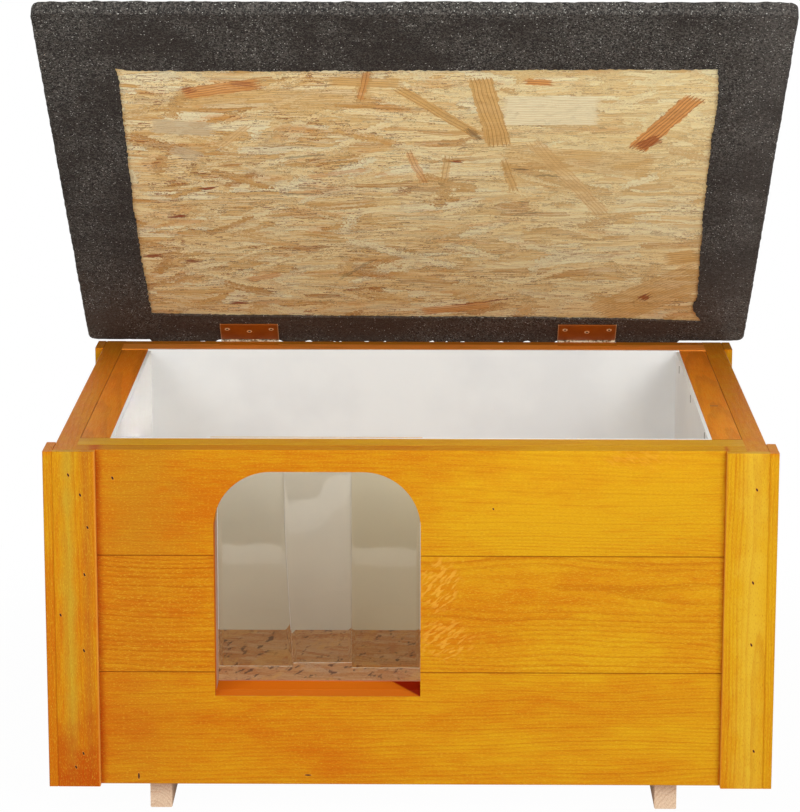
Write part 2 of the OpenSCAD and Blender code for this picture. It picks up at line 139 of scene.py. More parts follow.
def loft_mesh(rings):
    """Skin through closed rings: quads join ring i to ring i + 1, and a fan to its middle closes each end.

    rings[i, j] is point j of ring i. The volume under the faces tells which way they turn, and a skin that
    comes out inside out has its faces reversed.
    """
    count, around = rings.shape[:2]
    i, j = np.meshgrid(np.arange(count - 1), np.arange(around), indexing="ij")
    k = (j + 1) % around
    quads = np.stack([i * around + j, i * around + k, (i + 1) * around + k, (i + 1) * around + j], -1)
    quads = quads.reshape(-1, 4)
    points = np.vstack([rings.reshape(-1, 3), rings[0].mean(0), rings[-1].mean(0)])
    first, last = count * around, count * around + 1
    j = np.arange(around)
    k = (j + 1) % around
    top = (count - 1) * around
    fans = np.vstack([np.stack([np.full(around, first), k, j], -1),
                      np.stack([np.full(around, last), top + j, top + k], -1)])
    triangles = np.vstack([quads[:, [0, 1, 2]], quads[:, [0, 2, 3]], fans])
    corner = points[triangles]
    volume = np.einsum("ij,ij->i", corner[:, 0], np.cross(corner[:, 1], corner[:, 2])).sum()
    if volume < 0:
        quads, fans = quads[:, ::-1], fans[:, ::-1]
    return points, quads.tolist() + fans.tolist()


def join_lofts(parts):
    """Join several lofts into one list of points and one list of faces."""
    points, faces, start = [], [], 0
    for part_points, part_faces in parts:
        points.append(part_points)
        faces += [[start + corner for corner in face] for face in part_faces]
        start += len(part_points)
    return np.vstack(points), faces


WAVES = 14


def ripples(points, length, seed):
    """Smooth uneven height, mostly from -1 to 1, whose rises lie about length apart.

    It is the sum of sin(2 pi p . d / w + phase) over WAVES waves, with a random direction d, wave length w
    and phase each, divided by 1.5 sqrt(WAVES).
    """
    draw = np.random.default_rng(seed)
    turn = draw.normal(size=(WAVES, points.shape[-1]))
    turn /= np.linalg.norm(turn, axis=1)[:, None]
    pace = 2 * math.pi / (length * draw.uniform(0.6, 1.7, WAVES))
    phase = draw.uniform(0, 2 * math.pi, WAVES)
    return np.sin(points @ (turn * pace[:, None]).T + phase).sum(-1) / math.sqrt(WAVES) / 1.5


def swell(points, rows, base=0, shift=0):
    """Sum of height * (base + ripples) over rows of height and length, in millimetres, and seed."""
    return sum(height * MM * (base + ripples(points, length * MM, seed + shift))
               for height, length, seed in rows)


# Shader node graphs

class Signal:
    """A node's output. Adding, multiplying or comparing signals makes the math node that does it."""

    def __init__(self, graph, socket):
        self.graph, self.socket = graph, socket
        self.wide = socket.type != "VALUE"

    def __abs__(self):
        return self.graph.math("ABSOLUTE", self)

    def step(self, start, end, low=0.0, high=1.0):
        """Smooth step from start to end, given out from low to high."""
        inputs = {"Value": self, "From Min": start, "From Max": end, "To Min": low, "To Max": high}
        return self.graph.out("MapRange", inputs, interpolation_type="SMOOTHSTEP")


def add_operators():
    """Give Signal the operators that take two values, either of which may be a plain number or a vector."""
    def ahead(operation):
        return lambda signal, other: signal.graph.math(operation, signal, other)

    def behind(operation):
        return lambda signal, other: signal.graph.math(operation, other, signal)

    for name, operation in [("add", "ADD"), ("sub", "SUBTRACT"), ("mul", "MULTIPLY"), ("truediv", "DIVIDE")]:
        setattr(Signal, "__%s__" % name, ahead(operation))
        setattr(Signal, "__r%s__" % name, behind(operation))
    Signal.__gt__, Signal.__lt__ = ahead("GREATER_THAN"), ahead("LESS_THAN")


add_operators()


class Graph:
    """A node tree with short calls: each makes a node, sets or links its inputs and gives an output."""

    def __init__(self, tree, material=None):
        self.tree, self.material = tree, material

    def node(self, kind, inputs=None, **settings):
        node = self.tree.nodes.new("ShaderNode" + kind)
        for name, value in settings.items():
            setattr(node, name, value)
        for key, value in (inputs or {}).items():
            self.put(node.inputs[key], value)
        return node

    def out(self, kind, inputs=None, output=0, **settings):
        return Signal(self, self.node(kind, inputs, **settings).outputs[output])

    def named(self, outputs):
        """Outputs as attributes in small letters, with underlines for spaces."""
        return SimpleNamespace(**{small(output): Signal(self, output) for output in outputs})

    def put(self, socket, value):
        """Link a signal to an input, or set its value; a colour of three numbers is as a screen shows it."""
        if isinstance(value, Signal):
            self.tree.links.new(value.socket, socket)
        elif socket.type == "RGBA" and len(value) == 3:
            socket.default_value = rgb(*value)
        else:
            socket.default_value = value

    def fill(self, inputs, values):
        """Link or set inputs by their names in small letters, with underlines for spaces."""
        sockets = {small(socket): socket for socket in inputs}
        for name, value in values.items():
            self.put(sockets[name], value)

    def math(self, operation, a, b=0.0, clamp=False):
        """A math node, or a vector's where a or b is a vector."""
        if any(isinstance(value, tuple) or getattr(value, "wide", False) for value in (a, b)):
            return self.out("VectorMath", {0: a, 1: b}, operation=operation)
        return self.out("Math", {0: a, 1: b}, operation=operation, use_clamp=clamp)

    def larger(self, a, b):
        return self.math("MAXIMUM", a, b)

    def floor(self, a):
        return self.math("FLOOR", a)

    def dot(self, a, b):
        return self.out("VectorMath", {0: a, 1: b}, "Value", operation="DOT_PRODUCT")

    def length(self, a):
        return self.out("VectorMath", {0: a}, "Value", operation="LENGTH")

    def scale(self, a, factor):
        return self.out("VectorMath", {0: a, "Scale": factor}, operation="SCALE")

    def turn(self, a, angle, axis="Z_AXIS"):
        return self.out("VectorRotate", {"Vector": a, "Angle": angle}, rotation_type=axis)

    def split(self, a):
        return [Signal(self, output) for output in self.node("SeparateXYZ", {0: a}).outputs]

    def join(self, x, y, z):
        return self.out("CombineXYZ", {0: x, 1: y, 2: z})

    def mix(self, factor, a, b):
        """Mix two colours."""
        return self.out("Mix", {0: factor, 6: a, 7: b}, 2, data_type="RGBA")

    def paint(self, colour, *coats):
        """Lay coats over a colour, each one a mask and its tone."""
        for mask, tone in coats:
            colour = self.mix(mask, colour, tone)
        return colour

    def noise(self, vector, scale=1.0, detail=2.0, rough=0.5, output=0):
        inputs = {"Vector": vector, "Scale": scale, "Detail": detail, "Roughness": rough}
        return self.out("TexNoise", inputs, output)

    def drawn(self, vector, lengths, detail=2.0, rough=0.5):
        """Noise drawn out along each axis by a length in millimetres."""
        return self.noise(vector * tuple(1 / length for length in lengths), 1.0, detail, rough)

    def shift(self, vector, scale, detail=2.0, rough=0.5):
        """A vector of slow noise, from -0.5 to 0.5 each way."""
        return self.noise(vector, scale, detail, rough, output=1) - (0.5, 0.5, 0.5)

    def chance(self, number):
        """A random value for each whole number."""
        return self.out("TexWhiteNoise", {"W": number}, "Value", noise_dimensions="1D")

    def cells(self, vector, scale=1.0, feature="F1"):
        return self.named(self.node("TexVoronoi", {"Vector": vector, "Scale": scale}, feature=feature).outputs)

    def ramp(self, factor, stops):
        """Colour ramp through (position, screen colour) stops."""
        node = self.node("ValToRGB", {0: factor})
        bands = node.color_ramp.elements
        while len(bands) < len(stops):
            bands.new(0.5)
        for band, (position, shade) in zip(bands, stops):
            band.position = position
            band.color = rgb(*shade)
        return Signal(self, node.outputs[0])

    def object_place(self):
        """The piece's own place in the house's frame, in millimetres."""
        return self.scale(self.out("TexCoord", output="Object"), 1000.0)

    def light_path(self):
        return self.named(self.node("LightPath").outputs)

    def group(self, tree, **inputs):
        node = self.node("Group")
        node.node_tree = tree
        self.fill(node.inputs, inputs)
        return self.named(node.outputs)

    def leave(self, **values):
        """Give a group its outputs, which are all plain values, and give back its tree."""
        for label in values:
            self.tree.interface.new_socket(label.title(), in_out="OUTPUT", socket_type="NodeSocketFloat")
        self.fill(self.tree.nodes.new("NodeGroupOutput").inputs, values)
        return self.tree

    def surface(self, colour, roughness, specular=None, height=None, depth=0.0, **values):
        """Link or set the shader's own inputs and give back the material.

        height runs from 0 to 1 and makes a bump that is depth millimetres deep.
        """
        values.update(base_color=colour, roughness=roughness)
        if specular is not None:
            values["specular_ior_level"] = specular
        if height is not None:
            values["normal"] = self.out("Bump", {"Height": height, "Distance": depth * MM})
        self.fill(self.tree.nodes["Principled BSDF"].inputs, values)
        return self.material

    def overlay(self, share, other):
        """Show another shader over the material's own one."""
        own = Signal(self, self.tree.nodes["Principled BSDF"].outputs[0])
        mixed = self.out("MixShader", {0: share, 1: own, 2: other})
        self.put(self.tree.nodes["Material Output"].inputs[0], mixed)


def small(socket):
    return socket.name.lower().replace(" ", "_")


def make_group(name, **inputs):
    """A node group with named inputs, each with its default: a vector or a plain value."""
    tree = bpy.data.node_groups.new(name, "ShaderNodeTree")
    for label, value in inputs.items():
        kind = "NodeSocketVector" if isinstance(value, tuple) else "NodeSocketFloat"
        label = label.replace("_", " ").title()
        tree.interface.new_socket(label, in_out="INPUT", socket_type=kind).default_value = value
    graph = Graph(tree)
    return graph, graph.named(tree.nodes.new("NodeGroupInput").outputs)


def rgb(red, green, blue):
    """A colour as it shows on a screen, 0 to 255, turned into the linear colour that a shader takes."""
    def linear(value):
        value /= 255
        return value / 12.92 if value <= 0.04045 else ((value + 0.055) / 1.055) ** 2.4
    return (linear(red), linear(green), linear(blue), 1.0)


def new_material(name):
    """The graph of an empty node material with its shader."""
    material = bpy.data.materials.new(name)
    material.use_nodes = True
    return Graph(material.node_tree, material)


def pine_grain():
    """Growth rings, fibre and stain drift of a pine board whose grain runs along X, in millimetres.

    A ring is a cylinder round the pith line, bent by slow noise that is stretched along the grain; its
    late wood is the last part of each ring's saw tooth. Fibre is fine noise drawn out along the grain.
    """
    graph, entry = make_group("Pine grain", vector=(0, 0, 0), ring_width=4.0, wobble=8.0, taper=0.02)
    slow = graph.shift(entry.vector * (1 / 210, 1 / 60, 1 / 60), 1.0, detail=1.0)
    bent = entry.vector + graph.scale(slow, entry.wobble)
    along, depth, across = graph.split(bent)
    radius = graph.length(graph.join(0.0, depth + along * entry.taper, across))
    fibre = graph.drawn(bent, (24, 0.8, 0.8), 3.0, 0.6)
    broken = graph.drawn(bent, (60, 7, 7))
    ring = radius / entry.ring_width + broken * 0.9 + fibre * 0.18
    tooth = graph.math("FRACT", ring)
    late = tooth.step(0.3, 0.88) * tooth.step(1.0, 0.92)
    shade = graph.chance(graph.floor(ring)) * broken.step(0.3, 0.6, 0.5, 1.0)
    rings = late * (0.3 + shade * 0.7)
    drift = graph.drawn(entry.vector, (190, 70, 70))
    return graph.leave(rings=rings, fibre=fibre.step(0.25, 0.75), drift=drift.step(0.3, 0.7),
                       height=rings * 0.45 + fibre * 0.55)


def torn_grain():
    """Short slanting ripples where the planer lifted curly grain, inside a soft oval, in millimetres.

    The ripples are noise drawn out along a slant; the oval fades them from its middle to its rim.
    """
    graph, entry = make_group("Torn grain", vector=(0, 0, 0), middle=(0, 0, 0), reach=(20, 20, 20), slant=1.0)
    offset = entry.vector - entry.middle
    uneven = graph.noise(entry.vector, scale=0.12) - 0.5
    mask = (graph.length(offset / entry.reach) + uneven).step(1.0, 0.45)
    turned = graph.turn(offset, entry.slant, "Y_AXIS")
    ripple = graph.drawn(turned, (11, 6, 3.4), 1.5)
    return graph.leave(mask=mask, ripple=mask * ripple.step(0.46, 0.6))


def strand_layer():
    """One layer of wood strands: rows of long flakes, staggered by a random shift in each row.

    Every flake has its own number, which gives its tone, whether it covers what lies under it, and the
    place of its own fibre. Its rim is a hair line.
    """
    graph, entry = make_group("Strand layer", vector=(0, 0, 0), angle=0.0, long=60.0, wide=12.0, shift=0.0)
    along, across, depth = graph.split(graph.turn(entry.vector, entry.angle))
    row_place = across / entry.wide + entry.shift
    row = graph.floor(row_place)
    column_place = along / entry.long + graph.chance(row) * 9.0
    flake = graph.join(row, graph.floor(column_place), graph.floor(depth / 0.9) + entry.shift)
    random = graph.out("TexWhiteNoise", {"Vector": flake}, "Color", noise_dimensions="3D")
    tone, pick, phase = graph.split(random)
    side = graph.math("PINGPONG", row_place, 0.5)
    end = graph.math("PINGPONG", column_place, 0.5)
    rim = graph.math("MINIMUM", side * entry.wide, end * entry.long * 0.6)
    fibre = graph.noise(graph.join(along / 55.0, across * 0.6, phase * 90.0), rough=0.6)
    return graph.leave(tone=tone, pick=pick, edge=rim.step(0.5, 0.0), fibre=fibre.step(0.3, 0.7))


# Layers of the strand board from the lowest to the top one: turn of its flakes, their length and width, a
# shift of their rows, and the share of them that is left out
STRAND_LAYERS = [(0.03, 130.0, 27.0, 0.0, 0.0), (-0.12, 110.0, 20.0, 7.3, 0.4), (0.16, 90.0, 15.0, 15.1, 0.5),
                 (0.0, 70.0, 8.0, 43.3, 0.62), (0.55, 60.0, 10.0, 22.7, 0.82), (-0.45, 64.0, 13.0, 31.9, 0.82),
                 (1.25, 42.0, 13.0, 55.7, 0.95)]


def strand_board(layer_tree):
    """Strands pressed in layers: each layer covers the last one only where its flakes are picked."""
    graph, entry = make_group("Strand board", vector=(0, 0, 0))
    sway = graph.shift(entry.vector, 0.022) * (24, 12, 0)
    ragged = graph.shift(entry.vector, 0.3) * (30, 2.2, 0)
    place = entry.vector + sway + ragged
    tone = edge = fibre = None
    for angle, long, wide, shift, least in STRAND_LAYERS:
        out = graph.group(layer_tree, vector=place, angle=angle, long=long, wide=wide, shift=shift)
        if tone is None:
            tone, edge, fibre = out.tone, out.edge, out.fibre
            continue
        cover = out.pick > least
        blend = [(tone, out.tone), (edge, out.edge), (fibre, out.fibre)]
        tone, edge, fibre = [graph.out("Mix", {0: cover, 2: a, 3: b}) for a, b in blend]
    speck = graph.drawn(place, (9, 2.2, 1))
    region = graph.drawn(place, (70, 30, 1), 1.0)
    warm = graph.drawn(place, (75, 22, 1), 3.0, 0.6)
    grey = graph.drawn(place + (400, 90, 0), (55, 16, 1), 3.0, 0.6)
    streak = graph.drawn(place, (30, 3, 1), 3.0, 0.65)
    hair = 0.0
    for angle, pace in [(0.08, 26.0), (0.62, 11.0), (-0.55, 12.0), (1.25, 9.0)]:
        line = graph.drawn(graph.turn(place, angle), (pace, 2, 1), 1.0)
        hair = graph.larger(hair, line.step(0.665, 0.74))
    lift = region.step(0.4, 0.65) * 0.07
    return graph.leave(tone=tone, edge=edge * region.step(0.35, 0.6), fibre=fibre,
                       splinter=(speck + lift).step(0.64, 0.7), warm=warm.step(0.52, 0.75),
                       grey=grey.step(0.54, 0.68), hair=hair * region.step(0.3, 0.6, 0.35, 1.0), streak=streak,
                       height=tone * 0.4 + fibre * 0.4 - edge * 0.4)


def placed_strand():
    """One long strand at a given place, laid over the mask and the fibre lines of the strands before it.

    The lines are two sine waves across the strand, shifted by Waver so that they run unevenly, and they fray
    its ends. Vector comes in with a ragged shift, so that no edge is quite straight; Plain comes without it.
    """
    graph, entry = make_group("Placed strand", vector=(0, 0, 0), plain=(0, 0, 0), middle=(0, 0, 0),
                              along=(1, 0, 0), across=(0, 1, 0), long=60.0, wide=10.0, strength=1.0,
                              waver=0.0, mask=0.0, lines=0.0)
    offset = entry.vector - entry.middle
    along, across = graph.dot(offset, entry.along), graph.dot(offset, entry.across)
    stripe = graph.dot(entry.plain, entry.across) * 1.5 + entry.waver
    lines = graph.math("SINE", stripe) * 0.6 + graph.math("SINE", stripe * 2.37) * 0.5
    end = entry.long * 0.5 - abs(along) + lines * 4.0
    side = entry.wide * 0.5 - abs(across)
    mask = graph.math("MINIMUM", end * 0.4, side).step(0.0, 0.8) * entry.strength
    lines = mask * lines.step(-0.1, 0.9)
    return graph.leave(mask=graph.larger(mask, entry.mask), lines=graph.larger(lines, entry.lines))


PINE_GRAIN = pine_grain()
TORN_GRAIN = torn_grain()
PLACED_STRAND = placed_strand()
STRAND_BOARD = strand_board(strand_layer())


# Stained pine

AMBER = (207, 154, 22)
ORANGE = (193, 103, 13)
BROWN = (172, 100, 30)
# Deep red of pooled stain; beside the right trim it also stands for a painted shadow
POOLED_STAIN_AND_SHADOW = (176, 62, 8)
REVEAL_SHADOW_RED = (150, 34, 8)
LATE_WOOD = (172, 88, 8)
OLIVE = (188, 150, 42)
PALE_BAND = (214, 174, 52)
# Painted highlight where the trims' eased inner edges catch the light
EDGE_HIGHLIGHT = (226, 150, 60)
SEAM_SHADE = (84, 34, 8)
CUT_STAIN = (212, 106, 20)
STAIN_TINT = (255, 200, 90)
PALE_FIBRE_HIGHLIGHT = (234, 176, 66)


def grain_vector(graph, axes, pith, slide):
    """The place along the grain, into the board and across it, in millimetres from the pith line."""
    parts = dict(zip("XYZ", graph.split(graph.object_place())))
    return graph.join(*[parts[axis] for axis in axes]) - (slide, pith[0], pith[1])


def near_places(graph, coordinate, places, reach, wander=0.0):
    """Mask that is 1 at any of the places along a coordinate and fades within reach, in millimetres."""
    mask = 0.0
    for place in places:
        gap = abs(coordinate - place) + graph.math("MULTIPLY", wander, reach)
        mask = graph.larger(mask, gap.step(reach, 0.0))
    return mask


def stain_cuts(graph, parts, colour, roughness):
    """Redder, dull stain on the doorway's cuts, and a painted shadow in deep red at the lower right behind the
    face.
    """
    face, door = BOARD_FACE / MM, DOOR_RIGHT / MM
    inside = parts["Y"].step(face + 0.4, face + 2.0) * (parts["Z"] < WALL_TOP / MM - 1)
    # Painted shadow of the doorway's right reveal: deep red in a wedge at the right of the cuts, wider to the
    # rear
    wedge = parts["X"] - door + (parts["Y"] - face) * 0.56
    corner = inside * wedge.step(-2.0, 2.0) * (parts["X"] < door - 0.1)
    colour = graph.paint(colour, (inside * 0.85, CUT_STAIN), (corner, REVEAL_SHADOW_RED))
    return colour, graph.larger(roughness, inside)


def stained_pine(name, axes, pith, slide, stain, ring=4.0, wobble=9.0, taper=0.02, streak=0.3, lines=0.4,
                 gloss=0.15, bands=(), torn=(), joints=(), cut=False):
    """Satin amber stain over pine.

    stain gives how far the colour has gone to orange at the two ends of the board, and where along it the
    change lies and how wide it is. bands are (axis, places, half width, colour, strength) rows of another
    tone with a wandering rim, joints are rows of the same kind with a straight rim, and torn holds
    (middle, reach, slant, strength) rows of lifted grain. cut makes the doorway's cuts dull and redder.
    """
    graph = new_material(name)
    vector = grain_vector(graph, axes, pith, slide)
    grain = graph.group(PINE_GRAIN, vector=vector, ring_width=ring, wobble=wobble, taper=taper)
    place = graph.object_place()
    parts = dict(zip("XYZ", graph.split(place)))
    start, end, middle, width = stain
    depth = parts[axes[0]].step(middle - width, middle + width, start, end)
    brushed = graph.drawn(vector, (34, 8, 8), 3.0, 0.6)
    depth = depth + ((grain.drift - 0.5) * 0.5 + (brushed - 0.5) * 0.9)
    colour = graph.mix(graph.math("ADD", depth, (grain.fibre - 0.5) * streak, clamp=True), AMBER, ORANGE)
    wander = graph.noise(place, scale=0.05, detail=3.0) - 0.4
    for axis, places, half, tone, strength in bands:
        mask = near_places(graph, parts[axis], places, half, wander)
        colour = graph.mix(mask * strength, colour, tone)
    fleck = graph.noise(vector * (0.35, 1.3, 1.3), rough=0.7)
    colour = graph.paint(colour, (grain.rings * lines, LATE_WOOD),
                         (fleck.step(0.52, 0.76, 0.0, 0.65), PALE_BAND),
                         (fleck.step(0.48, 0.26, 0.0, 0.5), BROWN))
    height = grain.height
    for middle, reach, slant, strength in torn:
        rip = graph.group(TORN_GRAIN, vector=place, middle=middle, reach=reach, slant=slant)
        # Torn grain: a more orange stain in the oval, and on the ripples pale lifted fibre with a painted
        # highlight
        colour = graph.paint(colour, (rip.mask * (0.5 * strength), ORANGE),
                             (rip.ripple * (0.6 * strength), PALE_FIBRE_HIGHLIGHT))
        height = height + rip.ripple * (1.6 * strength)
    for axis, places, half, tone, strength in joints:
        colour = graph.mix(near_places(graph, parts[axis], places, half) * strength, colour, tone)
    roughness = 0.4 + grain.fibre * 0.16
    if cut:
        colour, roughness = stain_cuts(graph, parts, colour, roughness)
    return graph.surface(colour, roughness, gloss, height, 0.22, specular_tint=STAIN_TINT)


def finish(material, *nodes):
    """Give CAD nodes their material."""
    for node in nodes:
        slots = frame["nodes"][node].data.materials
        slots.clear()
        slots.append(material)


SEAM_LINES = ("Z", [seam / MM for seam in SEAMS], 0.9, SEAM_SHADE, 0.6)
TOP_EDGE = ("Z", [WALL_TOP / MM + 2], 9.0, (206, 104, 14), 0.7)
LEFT_POOL = ("X", [LEFT_TRIM_EDGE / MM - 1], 11.0, POOLED_STAIN_AND_SHADOW, 0.9)
# Painted shadow of the right trim on the boards beside it, in the deep red
RIGHT_TRIM_SHADOW = ("X", [RIGHT_TRIM_EDGE / MM + 1], 4.5, POOLED_STAIN_AND_SHADOW, 0.9)
LEFT_SHADE = ("X", [-270.0], 90.0, BROWN, 0.2)
TOP_SHADE = ("X", [-270.0], 90.0, (180, 128, 30), 0.5)

KNOT_SIDE = [((29, -280, 238), (26, 30, 34), 0.7, 0.75), ((36, -280, 184), (34, 30, 26), 0.5, 0.65)]
CHIPPED_TOP = [((222, -280, 368), (40, 30, 13), -0.6, 0.3)]
FRONT_BOARDS = {
    "front_board_top": dict(pith=(-150, 470), slide=40, stain=(0.72, 0.06, 30, 130), ring=3.0, streak=0.46,
                            lines=0.3, torn=CHIPPED_TOP),
    "front_board_middle_left": dict(pith=(-262, 330), slide=-300, stain=(0.86, 0.8, -230, 40), ring=5.0,
                                    taper=0.3, wobble=16.0, streak=0.34, lines=0.9),
    "front_board_middle_right": dict(pith=(-262, 236), slide=150, stain=(0.52, 0.28, 100, 120), ring=5.5,
                                     taper=0.03, wobble=34.0, lines=0.5, torn=KNOT_SIDE),
    "front_board_bottom": dict(pith=(-190, -60), slide=510, stain=(0.72, 0.26, 60, 160), ring=3.3,
                               wobble=14.0, streak=0.4, lines=0.5),
}
for board, values in FRONT_BOARDS.items():
    shade = TOP_SHADE if board == "front_board_top" else LEFT_SHADE
    finish(stained_pine(board + " stain", "XYZ", bands=[shade, LEFT_POOL, RIGHT_TRIM_SHADOW], joints=[SEAM_LINES],
                        cut=True, **values), board)

draw = np.random.default_rng(7)
for wall, axes, face in [("rear", "XYZ", 262), ("left", "YXZ", -340), ("right", "YXZ", 340)]:
    for course in ["bottom", "middle", "top"]:
        board = wall + "_board_" + course
        centre = (low(board).z + high(board).z) / 2 / MM
        outward = 1 if wall != "left" else -1
        pith = (face - outward * draw.uniform(20, 120), centre + draw.uniform(-90, 90))
        tone = draw.uniform(0.2, 0.7, 2)
        finish(stained_pine(board + " stain", axes, pith, draw.uniform(-500, 500), (*tone, 0, 200),
                            ring=draw.uniform(3.5, 6), wobble=draw.uniform(8, 22), taper=draw.uniform(0, 0.06),
                            bands=[TOP_EDGE], joints=[SEAM_LINES]), board)

# The corner trims: how orange they are at their feet and heads, and their bands and joints; the joint along
# each trim's inner edge is a painted highlight
TRIMS = {
    "left": ((0.95, 0.5), [("X", [-318.0], 9.0, BROWN, 0.6), ("X", [-336.0], 12.0, OLIVE, 0.85),
                           ("Z", [40.0], 100.0, POOLED_STAIN_AND_SHADOW, 0.9)], [("X", [LEFT_TRIM_EDGE / MM], 1.8, EDGE_HIGHLIGHT, 0.8)]),
    "right": ((0.4, 0.06), [("X", [336.0], 24.0, PALE_BAND, 0.7)],
              [("X", [RIGHT_TRIM_EDGE / MM], 1.3, EDGE_HIGHLIGHT, 0.5)]),
}
for side, sign in [("left", -1), ("right", 1)]:
    for end, face_y in [("front", -285), ("rear", 278)]:
        corner = end + "_" + side
        shade, bands, joints = TRIMS[side]
        finish(stained_pine(corner + " face trim stain", "ZYX", (face_y - 30, sign * 345), sign * 90,
                            (*shade, 120, 110), ring=2.6, wobble=7.0, taper=0.01, streak=0.5, bands=bands,
                            joints=joints), corner + "_face_trim")
        finish(stained_pine(corner + " side trim stain", "ZXY", (sign * 330, face_y), sign * 60,
                            (*shade, 160, 130), ring=2.8, wobble=7.0, taper=0.01, streak=0.5,
                            bands=[TOP_EDGE]), corner + "_side_trim")

for side, sign, tone in [("left", -1, (228, 116, 14)), ("right", 1, (250, 136, 20))]:
    rail = side + "_top_rail"
    outer = low(rail).x if side == "left" else high(rail).x
    joints = [("X", [outer / MM], 1.1, SEAM_SHADE, 0.75),
              ("Y", [low(rail).y / MM, high(rail).y / MM], 0.9, SEAM_SHADE, 0.6)]
    finish(stained_pine(side + " rail stain", "YZX", (300, sign * 320), sign * 70, (0.5, 0.95, 0, 170),
                        ring=3.2, streak=0.5, lines=0.7, gloss=0.5, bands=[("Z", [375.0], 60.0, tone, 0.5)],
                        joints=joints), rail)
finish(stained_pine("front lintel stain", "XZY", (310, -240), 35, (0.08, 0.04, 0, 200), ring=3.0, gloss=0.6),
       "front_lintel_rail")
finish(stained_pine("rear rail stain", "XZY", (290, 240), -85, (0.6, 0.5, 0, 200), ring=3.4, gloss=0.4,
                    bands=[("Z", [375.0], 60.0, (252, 150, 66), 0.85)]), "rear_top_rail")
finish(stained_pine("sill stain", "XZY", (60, -240), 5, (1.0, 1.0, 0, 100), ring=3.0, gloss=0.0, cut=True),
       "doorway_sill_batten")


# Bare pine of the hidden posts, the clamp batten and the skids

def raw_pine(name, axes, pith, slide, ring=3.2, shade=0.0):
    """Pale sawn pine with darker late wood, speckled by the saw; shade tells how dull and pink it is."""
    graph = new_material(name)
    vector = grain_vector(graph, axes, pith, slide)
    grain = graph.group(PINE_GRAIN, vector=vector, ring_width=ring, wobble=6.0, taper=0.01)
    speck = graph.noise(graph.object_place(), scale=0.9, detail=3.0, rough=0.7)
    colour = graph.paint(
        graph.mix(grain.fibre, (238, 218, 190), (220, 192, 158)), (grain.rings * 0.5, (192, 150, 112)),
        (speck.step(0.52, 0.7, 0.0, 0.55), (164, 120, 88)),
        (speck.step(0.46, 0.32, 0.0, 0.5), (250, 236, 216)), (shade, (190, 156, 134)))
    return graph.surface(colour, 0.8, 0.3 * (1 - shade), grain.height, 0.35)


finish(raw_pine("raw pine posts", "ZXY", (-290, -230), 20), "front_left_post", "front_right_post",
       "rear_left_post", "rear_right_post")
finish(raw_pine("raw pine batten", "XZY", (340, -215), 20), "strip_clamp_batten")
finish(raw_pine("raw pine jambs", "ZXY", (-200, -240), 12, shade=1.0), "doorway_left_jamb",
       "doorway_right_jamb")
finish(raw_pine("raw pine left skid", "YZX", (-6, -258), 15, shade=0.14), "left_skid")
finish(raw_pine("raw pine right skid", "YZX", (-26, 296), 45, ring=4.0, shade=0.08), "right_skid")


# Strand board of the lid and the floor

# Strands that stand out in the photograph, by tone: the tone, its fibre lines, and for each strand the two
# ends of its middle line in the lid's own millimetres, its width and how strongly it shows
PLACED = {
    "cream": ((255, 244, 204), (234, 206, 148), [(92, -470, 190, -470, 54, 0.9)]),
    "grey": ((212, 190, 150), (236, 216, 180), [(-268, -440, -206, -434, 26, 0.7),
        (-250, -396, -222, -380, 20, 0.6)]),
    "straw": ((240, 204, 142), (200, 148, 84), [(125, -411, 203, -271, 18, 0.6),
        (-200, -402, -170, -440, 11, 0.7)]),
    "tan": ((228, 180, 104), (176, 116, 48), [(96, -384, 250, -366, 44, 0.35),
        (-240, -486, -40, -492, 38, 0.4), (68, -528, 90, -405, 26, 0.8),
        (-14, -510, 66, -425, 14, 0.75), (214, -52, 322, -148, 56, 0.5),
        (95, -376, 108, -316, 10, 0.6), (36, -380, 34, -333, 9, 0.5), (278, -176, 310, -184, 26, 0.7),
        (-84, -523, -12, -519, 17, 0.7), (-297, -515, -274, -513, 6, 0.9)]),
    "orange": ((230, 160, 84), (150, 70, 22), [(232, -398, 286, -494, 22, 0.9),
        (113, -523, 141, -520, 11, 0.9), (-4, -392, 12, -332, 9, 0.5),
        (10, -60, 86, -76, 16, 0.6), (-232, -500, -154, -518, 20, 0.8),
        (-45, -540, -53, -488, 8, 0.6), (-110, -343, -48, -358, 8, 0.4), (-184, -129, -146, -142, 11, 0.6)]),
    "bark": ((140, 110, 72), (100, 72, 44), [(56, -436, 70, -416, 8, 0.6), (107, -359, 119, -358, 4, 0.8),
        (106, -268, 135, -273, 4, 0.4), (129, -346, 153, -347, 4, 0.5), (-132, -380, -92, -387, 4.5, 0.45),
        (-139, -308, -106, -310, 4.5, 0.45), (-41, -176, -81, -132, 5, 0.35)]),
    "red": ((160, 70, 26), (104, 36, 12), [(234, -402, 256, -420, 16, 0.6), (254, -88, 263, -98, 12, 0.8),
        (46, -74, 114, -91, 2.4, 0.8), (42, -375, 52, -373, 6, 0.8), (-231, -505, -222, -510, 14, 0.5),
        (-182, -520, -160, -516, 10, 0.4), (-226, -318, -208, -322, 5, 0.9),
        (-264, -262, -243, -264, 5.5, 0.9),
        (-296, -180, -276, -181, 7, 0.8), (-252, -170, -236, -168, 7, 0.7), (-205, -78, -187, -79, 7, 0.8)]),
}


